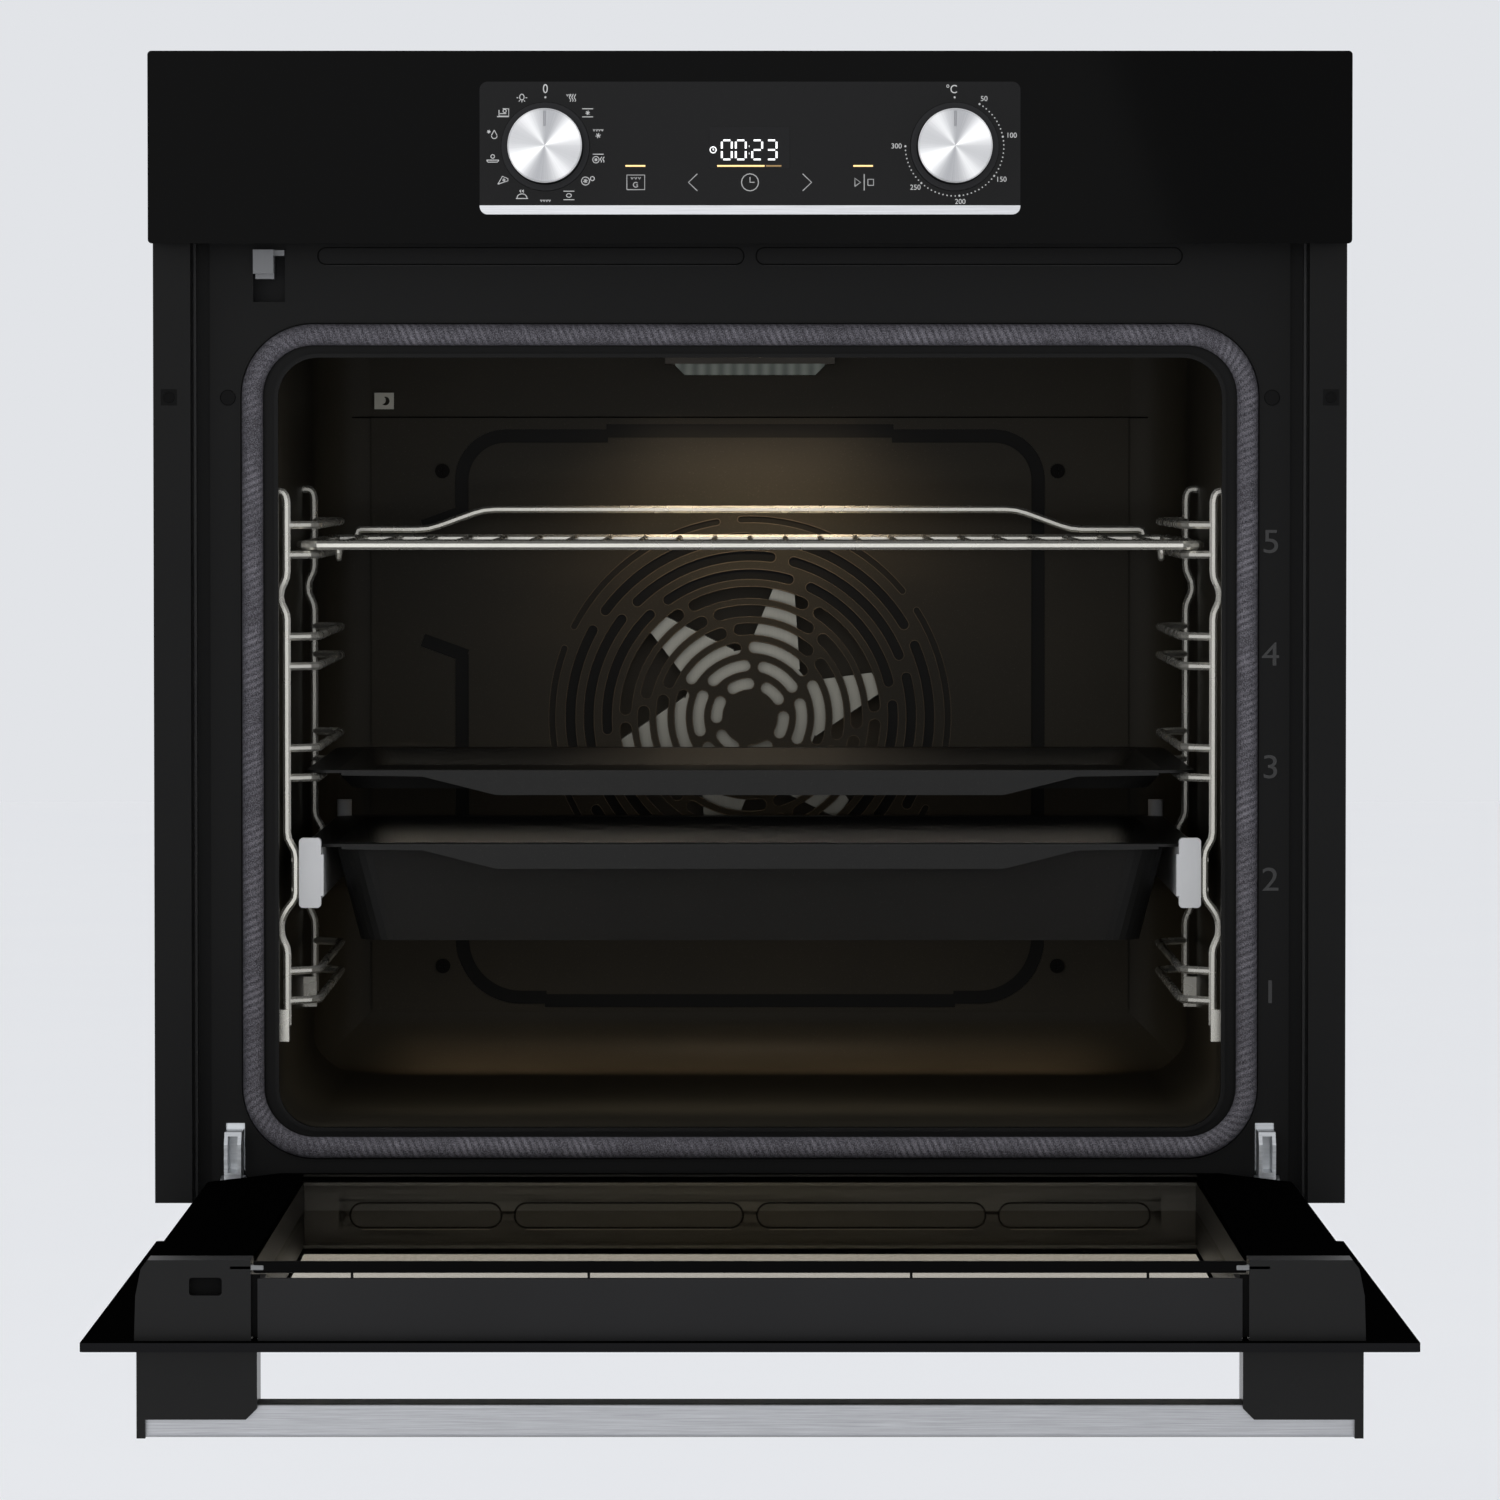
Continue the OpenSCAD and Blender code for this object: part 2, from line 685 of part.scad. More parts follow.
heater_y = chamber_y + 20;
grill_z = mouth_top + 13;
grill_legs = [-140, 140];
heater_turn = asin(14 / heater_r);
sleeve_t = 0.4;
sensor_x = -201;
sensor_z = mouth_top - 19;
lamp_half = 46;
lamp_y0 = wall_y - 62;
lamp_y1 = wall_y - 4;
lens_low = mouth_top - 5.2;

module ring_heater() color("#3c3836") {
    translate([0, heater_y, fan_z]) rotate([90, 0, 0]) rotate([0, 0, 90 + heater_turn])
        rotate_extrude(angle = 360 - 2 * heater_turn, $fn = 96) translate([heater_r, 0]) circle(d = tube_d);
    for (s = [-1, 1]) rod_y(s * 14, fan_z + heater_r * cos(heater_turn),
        heater_y - tube_d / 2 - sleeve_t, motor_y + 14, tube_d + 2 * sleeve_t);
}

module grill_heater() color("#3c3836") {
    y0 = 90;
    y1 = 350;
    for (i = [0:7]) rod_y(-140 + 40 * i, grill_z, y0, y1, tube_d);
    for (i = [0:2:6]) translate([-120 + 40 * i, y0, grill_z]) rotate([0, 0, 180])
        rotate_extrude(angle = 180) translate([20, 0]) circle(d = tube_d);
    for (i = [1:2:5]) translate([-120 + 40 * i, y1, grill_z])
        rotate_extrude(angle = 180) translate([20, 0]) circle(d = tube_d);
    for (x = grill_legs) rod_y(x, grill_z, y1 - 1, wall_y + 15, tube_d);
}

module bottom_heater() color("#3c3836") {
    z = cavity_low - enamel_t - tube_d / 2 - 0.3;
    y0 = 90;
    y1 = 380;
    for (i = [0:3]) rod_y(-150 + 100 * i, z, y0, y1, tube_d);
    for (i = [0:2:2]) translate([-100 + 100 * i, y0, z]) rotate([0, 0, 180])
        rotate_extrude(angle = 180) translate([50, 0]) circle(d = tube_d);
    translate([0, y1, z]) rotate_extrude(angle = 180) translate([50, 0]) circle(d = tube_d);
    for (s = [-1, 1]) rod_y(s * 150, z, y1 - 1, 450, tube_d);
}

module lamp_housing() color("#5a5752") difference() {
    union() {
        block(-lamp_half, lamp_half, lamp_y0, lamp_y1, lens_low + 6, cavity_top + 30);
        block(-lamp_half - 6, lamp_half + 6, lamp_y0 - 6, lamp_y1 + 3, cavity_top - 1.2, cavity_top);
    }
    block(-lamp_half + 3, lamp_half - 3, lamp_y0 + 3, lamp_y1 - 3, lens_low, cavity_top + 28.5);
}

module lamp_lens() color("#b9c2b4") {
    half = lamp_half - 5.5;
    slab(lamp_y0 + 3.3, lamp_y1 - 3.3) polygon([
        [-half, lens_low + 12], [-half, lens_low + 5], [-half + 5, lens_low],
        [half - 5, lens_low], [half, lens_low + 5], [half, lens_low + 12]]);
    block(-lamp_half + 3.3, lamp_half - 3.3, lamp_y0 + 3.3, lamp_y1 - 3.3, lens_low + 12,
        lens_low + 15);
}

module lamp_bulb() color("#e8dcc0") {
    y = (lamp_y0 + lamp_y1) / 2;
    z = cavity_top + 2;
    rod_x(y, z, -18, 14, 11);
    translate([14, y, z]) sphere(d = 11);
    block(-lamp_half + 3, -18, y - 8, y + 8, z - 7, z + 7);
}

module temperature_sensor() color("#a9a7a2") {
    difference() {
        block(sensor_x - 5.3, sensor_x + 5.3, wall_y - 3.2, wall_y - 1.7, sensor_z - 4.5, sensor_z + 4.5);
        difference() {
            rod_y(sensor_x + 0.6, sensor_z, wall_y - 5, wall_y - 1, 4.8);
            rod_y(sensor_x - 1.2, sensor_z + 0.4, wall_y - 5, wall_y - 1, 4.2);
        }
    }
    block(sensor_x - 5.3, sensor_x - 3.8, wall_y - 3.2, wall_y, sensor_z - 4.5, sensor_z + 4.5);
    rod_y(sensor_x - 3.2, sensor_z, wall_y - 2, wall_y + 30, 3);
}

// ---------- cooling blower and terminals ----------

blower_y = 150;
blower_z = body_top - 52;
rotor_d = 56;
rotor_half = 135;

module blower_housing() color("#a7a8aa") difference() {
    low = blower_z - rotor_d / 2 - 8;
    union() {
        block(-rotor_half - 6, rotor_half + 6, blower_y - rotor_d / 2 - 8, blower_y + rotor_d / 2 + 8,
            low, body_top - sheet_t);
        block(-rotor_half - 6, rotor_half + 6, frame_y + frame_t, blower_y, panel_low + 2, carrier_low);
    }
    rod_x(blower_y, blower_z, -rotor_half - 3, rotor_half + 3, rotor_d + 8);
    block(-rotor_half - 3, rotor_half + 3, frame_y, blower_y, panel_low + 4, carrier_low - 2);
    block(-rotor_half - 3, rotor_half + 3, blower_y, blower_y + rotor_d, blower_z - 20, blower_z + 20);
    rod_x(blower_y, blower_z, -rotor_half - 8, rotor_half + 8, 12);
}

module blower_rotor() color("#6f7276") {
    r = rotor_d / 2;
    rod_x(blower_y, blower_z, -rotor_half - 5, rotor_half + 30, 5);
    for (x = [-rotor_half, 0, rotor_half - 1.5]) rod_x(blower_y, blower_z, x, x + 1.5, rotor_d);
    for (a = [0:20:340]) translate([0, blower_y, blower_z]) rotate([a, 0, 0])
        translate([-rotor_half, r - 9, -0.5]) cube([2 * rotor_half, 7.5, 1]);
}

module blower_motor() color("#55585c") difference() {
    union() {
        rod_x(blower_y, blower_z, rotor_half + 8, rotor_half + 36, 50);
        block(rotor_half + 6, rotor_half + 8, blower_y - 30, blower_y + 30, blower_z - 30, body_top - sheet_t);
    }
    rod_x(blower_y, blower_z, rotor_half + 5, rotor_half + 31, 5 + 2 * fit_gap);
}

module terminal_block() color("#2e3033") difference() {
    y0 = back_y + sheet_t;
    block(140, 220, y0, y0 + 18.8, 82, 132);
    block(142, 218, y0 - 1, y0 + 16.8, 84, 130);
    rod_z(180, y0 + 9, 80, 86, 10);
}

// ---------- control panel ----------

module knob_holes(y0, y1, d) {
    for (s = [-1, 1]) rod_y(s * knob_x, knob_z, y0, y1, d);
}

module panel_glass() color("#0b0b0d") difference() {
    slab(panel_front, panel_back)
        round_rect(-front_w / 2, front_w / 2, panel_low, panel_top, 2);
    knob_holes(panel_front - 1, panel_back + 1, collar_d + 0.4);
}

module panel_insert() color("#1b1b1e") difference() {
    half = insert_w / 2;
    z0 = insert_mid - insert_h / 2;
    slab(insert_front, panel_front) round_rect(-half, half, z0, z0 + insert_h, 4);
    slab(insert_front - 1, panel_front + 1) rect(-half - 1, half + 1, z0 - 1, z0 + strip_h);
    slab(insert_front - 1, insert_front + 0.4) rect(-20, 20, knob_z - 11, knob_z + 9.7);
    knob_holes(insert_front - 1, panel_front + 1, collar_d + 0.4);
}

module trim_strip() color("#c3c5c8") {
    half = insert_w / 2;
    z0 = insert_mid - insert_h / 2;
    slab(insert_front - 0.3, panel_front) intersection() {
        round_rect(-half, half, z0, z0 + insert_h, 4);
        rect(-half, half, z0, z0 + strip_h - 0.05);
    }
}

module panel_carrier() color("#19191b") difference() {
    union() {
        slab(panel_back, panel_back + carrier_t)
            rect(-front_w / 2 + 6, front_w / 2 - 6, panel_low + 4, panel_top - 4);
        slab(panel_back, frame_y) difference() {
            rect(-carrier_half, carrier_half, carrier_low, body_top - 4);
            rect(-carrier_half + carrier_t, carrier_half - carrier_t, carrier_low + carrier_t,
                body_top - 4 - carrier_t);
        }
        knob_holes(insert_front - 1.6, panel_back + 1, collar_d);
        for (x = [-125, 125]) for (z = [carrier_low + 9, body_top - 12])
            rod_y(x, z, panel_back, board_y, 8);
    }
    knob_holes(insert_front - 3, panel_back + 5, knob_d + 1);
    for (x = [-125, 125]) for (z = [carrier_low + 9, body_top - 12])
        rod_y(x, z, board_y - 8, board_y + 1, 2.6);
}

module control_board() color("#1f5a34") difference() {
    union() {
        slab(board_y, board_y + board_t) rect(-132, 132, carrier_low + 4, body_top - 7);
        block(-19, 19, panel_back + carrier_t + 0.5, board_y, knob_z - 10, knob_z + 9);
        block(-60, -30, board_y, board_y + 12, carrier_low + 12, carrier_low + 34);
    }
    knob_holes(board_y - 1, board_y + board_t + 1, 14);
    for (x = [-125, 125]) for (z = [carrier_low + 9, body_top - 12])
        rod_y(x, z, board_y - 1, board_y + board_t + 1, 3);
}

module rotary_switches() color("#3d4045") for (s = [-1, 1]) difference() {
    block(s * knob_x - 14, s * knob_x + 14, board_y + board_t, frame_y - 1, knob_z - 14, knob_z + 14);
    rod_y(s * knob_x, knob_z, board_y, frame_y - 2, spindle_d + 2 * fit_gap);
}

module spindle(x) {
    rod_y(x, knob_z, spindle_tip, frame_y - 2.5, spindle_d);
}

module function_spindle() color("#9c9ea1") spindle(-knob_x);
module temperature_spindle() color("#9c9ea1") spindle(knob_x);

module knob(x) {
    difference() {
        union() {
            rod_y(x, knob_z, knob_front + 0.8, knob_front + knob_l, knob_d);
            rod_y(x, knob_z, knob_front, knob_front + 1, knob_d - 1.2);
            rod_y(x, knob_z, knob_front + 3, hub_back, 11);
        }
        difference() {
            rod_y(x, knob_z, knob_front + 3, knob_front + knob_l + 1, knob_d - 4);
            rod_y(x, knob_z, knob_front + 2, knob_front + knob_l + 2, 11);
        }
        rod_y(x, knob_z, spindle_tip - push_travel - 0.5, hub_back + 1, spindle_d + 2 * fit_gap);
        block(x - 0.6, x + 0.6, knob_front - 1, knob_front + 0.5, knob_z + knob_d / 2 - 9,
            knob_z + knob_d / 2 - 1.2);
    }
}

module function_knob() color("#c9cacc") knob(-knob_x);
module temperature_knob() color("#c9cacc") knob(knob_x);

module door_switch_lever() color("#77787b") {
    block(-248, -237.8, door_t - front_out + 0.5, frame_y + 12, panel_low - 14, panel_low - 2);
    block(-237.8, -232.6, frame_y - 2.5, frame_y + 12, panel_low - 5, panel_low - 2.2);
    block(-247, -237.8, frame_y - 1.5, frame_y + 12, panel_low - 16.5, panel_low - 14);
}

// ---------- racks, runners, shelf and trays ----------

function level_z(i) = -level_top - level_pitch * (5 - i);

rack_foot_z = cavity_low + 50;
rack_foot_h = 16;

module rack_upright(y) {
    runner_x = runner_out + wire_d / 2;
    top = -level_top;
    wire([
        [cavity_half + 0.6, y, hook_z], [rack_x + 1.5, y, hook_z], [rack_x, y, hook_z - 4],
        [rack_x, y, top - 19], [rack_x + kink_out, y, top - 25], [rack_x + kink_out, y, top - 31],
        [rack_x, y, top - 37], [rack_x, y, runner_level + 18],
        [runner_x, y, runner_level + 12], [runner_x, y, runner_level - 12],
        [rack_x, y, runner_level - 17], [rack_x + kink_out, y, runner_level - 23],
        [rack_x + kink_out, y, runner_level - 31], [rack_x, y, runner_level - 37],
        [rack_x, y, rack_foot_z]], wire_d, [0, 1, 0], 4);
}

module side_rack() {
    for (y = [rack_front, rack_back]) rack_upright(y);
    for (i = [1, 3, 4, 5]) for (z = [level_z(i) - pair_gap / 2, level_z(i) + pair_gap / 2])
        wire([[rack_x, rack_front, z], [rail_x, rack_front + rack_bend, z],
            [rail_x, rack_back - rack_bend, z], [rack_x, rack_back, z]], wire_d, [0, 0, 1], 6);
    for (z = [runner_level - pair_gap / 2, runner_level + pair_gap / 2])
        wire([[runner_out + wire_d / 2, rack_front - 1, z], [runner_out + wire_d / 2, rack_back + 1, z]],
            wire_d, [0, 0, 1]);
    for (y = [rack_front, rack_back]) block(rack_x - 1, cavity_half - 0.05, y - 5, y + 5,
        rack_foot_z - rack_foot_h / 2, rack_foot_z + rack_foot_h / 2);
}

module side_rack_right() color("#cfd0d2") side_rack();
module side_rack_left() color("#cfd0d2") mirror([1, 0, 0]) side_rack();

runner_setback = 20;
runner_y = frame_y + runner_setback;
profile_t = 1.4;
lip_l = 3;

// Cross-sections of the runner, drawn for the right side
module fixed_profile() {
    h = runner_h / 2;
    rect(runner_out - profile_t, runner_out, runner_mid - h, runner_mid + h);
    for (z = [runner_mid - h, runner_mid + h - profile_t])
        rect(runner_out - profile_t - lip_l, runner_out, z, z + profile_t);
}

module middle_profile() {
    h = runner_h / 2 - profile_t - 0.5;
    a = runner_out - profile_t - 0.4;
    b = runner_in + profile_t + 0.4;
    rect(a - profile_t, a, runner_mid - h, runner_mid + h);
    rect(b, b + profile_t, runner_mid - h, runner_mid + h);
    rect(b, a, runner_mid - 2, runner_mid + 2);
}

module slide_profile() {
    h = runner_h / 2;
    rect(runner_in, runner_in + profile_t, runner_mid - h, slide_top);
    for (z = [runner_mid - h, runner_mid + h - profile_t])
        rect(runner_in, runner_in + profile_t + lip_l, z, z + profile_t);
    rect(runner_in, runner_out - 0.2, slide_top - profile_t, slide_top);
}

module runner_rail() {
    slab(runner_y, runner_y + runner_l) fixed_profile();
}

module runner_rails() color("#b5b7b9") both() runner_rail();

module runner_middle() {
    slab(runner_y + 3, runner_y + runner_l - 3) middle_profile();
}

module runner_middle_left() color("#a8aaac") mirror([1, 0, 0]) runner_middle();
module runner_middle_right() color("#a8aaac") runner_middle();

module runner_slide() {
    cap_low = runner_mid - 14.4;
    slab(runner_y, runner_y + runner_l) slide_profile();
    slab(runner_y - 7, runner_y) round_rect(runner_in, runner_out, cap_low, slide_top + 5.3, 2);
    slab(runner_y - 7, runner_y) rect(runner_in - 1.3, runner_in + 3, cap_low + 6, slide_top - 3);
    rod_z((runner_in + runner_out) / 2, tray_y + tray_depth + 7, slide_top - 0.5, slide_top + 10, 8);
}

module runner_slide_left() color("#c6c7c9") mirror([1, 0, 0]) runner_slide();
module runner_slide_right() color("#c6c7c9") runner_slide();

module shelf_hook(x) {
    wire([[x, tray_y + 36, shelf_z], [x, tray_y + 36, shelf_z - 7], [x, tray_y + 46, shelf_z - 7],
        [x, tray_y + 46, shelf_z]], 3, [1, 0, 0], 3);
}

frame_d = 4.8;
guard_rise = 10.9;
shelf_z = level_z(5) - pair_gap / 2 + wire_d / 2 + frame_d / 2 + 0.2;

module wire_shelf() color("#d4d5d6") {
    half = shelf_w / 2 - frame_d / 2;
    y0 = tray_y + frame_d / 2;
    y1 = tray_y + shelf_depth;
    mid = (y0 + y1) / 2;
    guard_y = y1 + 1.5;
    guard_z = shelf_z + 5;
    crossings = floor((half - 12) / shelf_pitch);
    wire([[0, y0, shelf_z], [half, y0, shelf_z], [half, mid, shelf_z], [half, y1, shelf_z],
        [0, y1, shelf_z]], frame_d, [0, 0, 1], 9);
    wire([[0, y0, shelf_z], [-half, y0, shelf_z], [-half, mid, shelf_z], [-half, y1, shelf_z],
        [0, y1, shelf_z]], frame_d, [0, 0, 1], 9);
    for (i = [-crossings:crossings]) rod_y(i * shelf_pitch, shelf_z + 0.4, y0, y1, 3);
    rod_x(mid, shelf_z - 0.4, -half, half, 3.4);
    wire([[-214, guard_y, shelf_z], [-214, guard_y, guard_z], [-175, guard_y, guard_z],
        [-145, guard_y, guard_z + guard_rise], [145, guard_y, guard_z + guard_rise], [175, guard_y, guard_z],
        [214, guard_y, guard_z], [214, guard_y, shelf_z]], wire_d, [0, 1, 0], 6);
    both() shelf_hook(crossings * shelf_pitch);
}

// A pan's solid body between its rim and its floor
module pan_body(half, y0, y1, z0, z1, taper, r) {
    hull() {
        for (x = [-half + r, half - r]) for (y = [y0 + r, y1 - r])
            translate([x, y, z1]) cylinder(r = r, h = eps, $fn = 32);
        for (x = [-half + taper + r, half - taper - r]) for (y = [y0 + taper + r, y1 - taper - r])
            translate([x, y, z0]) cylinder(r = r, h = eps, $fn = 32);
    }
}

module tray(rim_z, depth, taper, in) {
    half = tray_half - in;
    y0 = tray_y + in;
    y1 = tray_y + tray_depth - in;
    difference() {
        union() {
            layer(rim_z - lip_t, rim_z)
                round_rect(-tray_half, tray_half, tray_y, tray_y + tray_depth, 14);
            pan_body(half, y0, y1, rim_z - depth, rim_z - lip_t, taper, 18);
        }
        pan_body(half - tray_t, y0 + tray_t, y1 - tray_t, rim_z - depth + tray_t, rim_z + 1,
            taper, 17);
    }
    // The front edge folds down, deepest in the middle
    fold = tray_half - 18.3;
    slab(tray_y, tray_y + tray_t) polygon([
        [-fold, rim_z - lip_t / 2], [-fold, rim_z - 2.6], [-165, rim_z - 3.2], [-128, rim_z - 12.5],
        [128, rim_z - 12.5], [165, rim_z - 3.2], [fold, rim_z - 2.6], [fold, rim_z - lip_t / 2]]);
}

module shallow_tray() color("#2c2c2e")
    tray(level_z(3) - pair_gap / 2 + wire_d / 2 + 0.2 + lip_t, shallow_h, 8, 14);

module deep_tray() color("#2c2c2e") tray(slide_top + 0.2 + lip_t, deep_h, 12, 14);

// ---------- hinges ----------

module hinge_profile() {
    difference() {
        union() {
            translate([pivot_y, pivot_z]) circle(8);
            polygon([
                [pivot_y - 6, pivot_z + 2], [pivot_y - 7, pivot_z + 25],
                [pivot_y - 2, pivot_z + 31], [frame_y + 52, pivot_z + 31],
                [frame_y + 52, pivot_z + 14], [frame_y + 2, pivot_z + 12],
                [pivot_y + 8, pivot_z + 1]]);
        }
        translate([pivot_y, pivot_z]) circle(d = pin_d + 2 * fit_gap);
    }
}

module hinge_arms() color("#cfd2d4") both() difference() {
    side_slab(hinge_x - arm_w / 2, hinge_x + arm_w / 2) hinge_profile();
    // The hollow between the arm's two flanges, open to the front
    block(hinge_x - arm_w / 2 + 1.8, hinge_x + arm_w / 2 - 1.8, pivot_y - 8, frame_y - 2,
        pivot_z + 11, pivot_z + 29);
}

receiver_l = 56;

module hinge_receivers() color("#a9abad") both() difference() {
    y0 = frame_y + frame_t;
    block(hinge_x - arm_w / 2 - 2, hinge_x + arm_w / 2 + 2, y0, y0 + receiver_l, pivot_z + 10, pivot_z + 34);
    block(hinge_x - arm_w / 2 - 0.05, hinge_x + arm_w / 2 + 0.05, y0 - 1, frame_y + 52.05,
        pivot_z + 9, pivot_z + 31);
}

module hinge_pins() color("#9fa2a5") both()
    rod_x(pivot_y, pivot_z, hinge_x - arm_w / 2 - cheek_gap - cheek_t - 0.8,
        hinge_x + arm_w / 2 + cheek_gap + cheek_t + 0.8, pin_d);

case_back = -205;

module hinge_cases() color("#b3b6b8") both() {
    floor_z = glass_in_z + 2;
    inside = arm_w / 2 + cheek_gap;
    for (x0 = [hinge_x - inside - cheek_t, hinge_x + inside]) side_slab(x0, x0 + cheek_t)
        difference() {
            union() {
                rect(case_back, -28, floor_z, inner_under);
                polygon([[-29, floor_z], [-29, inner_under], [pivot_y - 6, pivot_z + 6.4],
                    [pivot_y - 3, pivot_z - 9]]);
                translate([pivot_y, pivot_z]) circle(9.2);
            }
            translate([pivot_y, pivot_z]) circle(d = pin_d);
        }
    block(hinge_x - inside - cheek_t, hinge_x + inside + cheek_t, case_back, -40, floor_z,
        floor_z + cheek_t);
    // End block, with the rod that guides the spring
    block(hinge_x - inside - eps, hinge_x + inside + eps, case_back + 1, case_back + 9,
        floor_z + eps, middle_z + 9);
    rod_y(hinge_x, middle_z + 2, case_back + 2, case_back + 128, 3.6);
}

module hinge_springs() color("#8e9194") both() {
    y0 = case_back + 9;
    turns = 32;
    turn = 3;
    translate([hinge_x, y0, middle_z + 2]) rotate([-90, 0, 0]) rotate_extrude($fn = 32)
        polygon(concat([[1.9, 0], [1.9, turns * turn]],
            [for (i = [2 * turns:-1:0]) [i % 2 == 0 ? 3 : 4.1, i * turn / 2]]));
}

// ---------- door ----------

module door_outer_glass() color("#0c0c0e")
    layer(outer_z, glass_in_z)
        round_rect(-front_w / 2, front_w / 2, free_y, hinge_end_y, 2);

module door_middle_glass() color("#3a2d20")
    block(-column_in, column_in, struct_y + cap_l + 2, inner_end - 8, middle_z - 2, middle_z + 2);

module inner_outline(out) {
    polygon([
        [-inner_half + out, struct_y + cap_l - 1], [inner_half - out, struct_y + cap_l - 1],
        [inner_half - out, chamfer_y], [chamfer_x - out, inner_end], [-chamfer_x + out, inner_end],
        [-inner_half + out, chamfer_y]]);
}

module door_inner_glass() color("#17140f")
    layer(inner_under, inner_z) difference() {
        inner_outline(0);
        rect(-column_in, column_in, struct_y, struct_y + cap_l);
    }

module door_columns() color("#121214") difference() {
    layer(glass_in_z, inner_under) inner_outline(0.3);
    block(-column_in, column_in, struct_y - 1, 30, glass_in_z - 1, inner_z);
    both() block(column_in + 2, inner_half - 2.3, struct_y + cap_l + 1, 30, glass_in_z + 2, inner_z);
}

module door_top_profile() color("#161618") {
    half = column_in - 3;
    block(-half, half, struct_y, struct_y + 4, glass_in_z, inner_z - 8.2);
    block(-half, half, struct_y, struct_y + cap_l, glass_in_z, glass_in_z + 1.5);
    both() block(half - 3, half, struct_y, struct_y + cap_l, glass_in_z, inner_z - 8.2);
}

module door_bottom_profile() color("#1c1c1e") difference() {
    union() {
        block(-column_in, column_in, inner_end - 3, inner_end - 1.5, glass_in_z, inner_under);
        block(-column_in, column_in, inner_end - 16, inner_end - 1.5, glass_in_z, glass_in_z + 1.5);
        block(-column_in, column_in, inner_end - 9, inner_end - 1.5, inner_under - 1.5, inner_under);
    }
    for (s = [-1, 1]) for (span = [[3.5, 117.3], [123.8, 199.2]])
        slab(inner_end - 5, inner_end)
            front_slot(min(s * span[0], s * span[1]), max(s * span[0], s * span[1]),
                glass_in_z + 9, glass_in_z + 21.5);
}

module cap_outline() {
    polygon([[column_in, glass_in_z], [inner_half + 7, glass_in_z], [inner_half + 6.4, glass_in_z + 20],
        [inner_half + 4, inner_z - 4], [inner_half + 1, inner_z], [column_in, inner_z]]);
}

module door_cap() {
    slab(struct_y, struct_y + cap_l - 1.1) cap_outline();
}

module door_caps() color("#1b1b1d") {
    door_cap();
    mirror([1, 0, 0]) difference() {
        door_cap();
        slab(struct_y - 1, struct_y + 6) round_rect(234.9, 249.5, inner_z - 15.8, inner_z - 7.8, 1.5);
    }
}

bar_low = outer_z - handle_out;

module handle_bar() color("#c5c6c8") {
    half = handle_w / 2 - cheek_w;
    side_slab(-half, half)
        round_rect(handle_y + 4, handle_y + 4 + bar_d, bar_low, bar_low + bar_h, 2);
}

module handle_brackets() color("#151517") both() difference() {
    half = handle_w / 2;
    y1 = handle_y + bracket_d;
    union() {
        slab(handle_y, y1) polygon([
            [half - bracket_w, outer_z], [half, outer_z], [half, outer_z - bracket_h],
            [half - bracket_w + 5, outer_z - bracket_h], [half - bracket_w, outer_z - bracket_h + 5]]);
        block(half - cheek_w, half, handle_y, y1, bar_low, outer_z);
    }
    block(half - bracket_w - 1, half - cheek_w, handle_y + 4, handle_y + 4 + bar_d,
        bar_low - 1, bar_low + bar_h);
}

// ---------- the nodes ----------

front_frame();
side_trims();
casing_wrap();
base_panel();
back_panel();
cavity_shell();
rear_chamber();
insulation();
door_seal();
fan_cover();
fan_cover_screws();
side_rack_left();
side_rack_right();
runner_rails();
ring_heater();
grill_heater();
bottom_heater();
lamp_housing();
lamp_lens();
lamp_bulb();
temperature_sensor();
fan_motor();
impeller();
fan_shaft();
blower_housing();
blower_motor();
blower_rotor();
terminal_block();
panel_glass();
panel_insert();
trim_strip();
panel_carrier();
control_board();
rotary_switches();
function_spindle();
temperature_spindle();
function_knob();
temperature_knob();
door_switch_lever();
wire_shelf();
shallow_tray();
deep_tray();
runner_middle_left();
runner_middle_right();
runner_slide_left();
runner_slide_right();
hinge_arms();
hinge_receivers();
hinge_pins();
hinge_cases();
hinge_springs();
door_outer_glass();
door_middle_glass();
door_inner_glass();
door_columns();
door_top_profile();
door_bottom_profile();
door_caps();
handle_bar();
handle_brackets();
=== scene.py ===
import json
import math

import bpy
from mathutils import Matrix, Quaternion, Vector

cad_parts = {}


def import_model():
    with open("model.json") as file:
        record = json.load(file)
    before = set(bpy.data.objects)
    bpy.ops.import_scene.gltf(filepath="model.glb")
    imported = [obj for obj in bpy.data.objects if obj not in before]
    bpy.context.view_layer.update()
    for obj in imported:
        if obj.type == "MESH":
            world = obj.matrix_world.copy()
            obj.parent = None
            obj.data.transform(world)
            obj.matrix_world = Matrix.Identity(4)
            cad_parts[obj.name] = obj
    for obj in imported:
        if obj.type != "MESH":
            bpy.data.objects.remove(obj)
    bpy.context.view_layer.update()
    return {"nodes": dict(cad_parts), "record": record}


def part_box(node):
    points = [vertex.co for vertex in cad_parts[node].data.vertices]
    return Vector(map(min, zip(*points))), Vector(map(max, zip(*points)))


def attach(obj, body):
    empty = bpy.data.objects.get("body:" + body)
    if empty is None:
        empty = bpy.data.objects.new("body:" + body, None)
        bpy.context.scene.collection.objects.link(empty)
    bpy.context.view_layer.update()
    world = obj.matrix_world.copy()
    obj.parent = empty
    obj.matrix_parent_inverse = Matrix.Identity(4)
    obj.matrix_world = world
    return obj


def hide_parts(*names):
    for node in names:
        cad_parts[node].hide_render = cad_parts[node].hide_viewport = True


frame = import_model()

NODES = frame["nodes"]
MM = 0.001

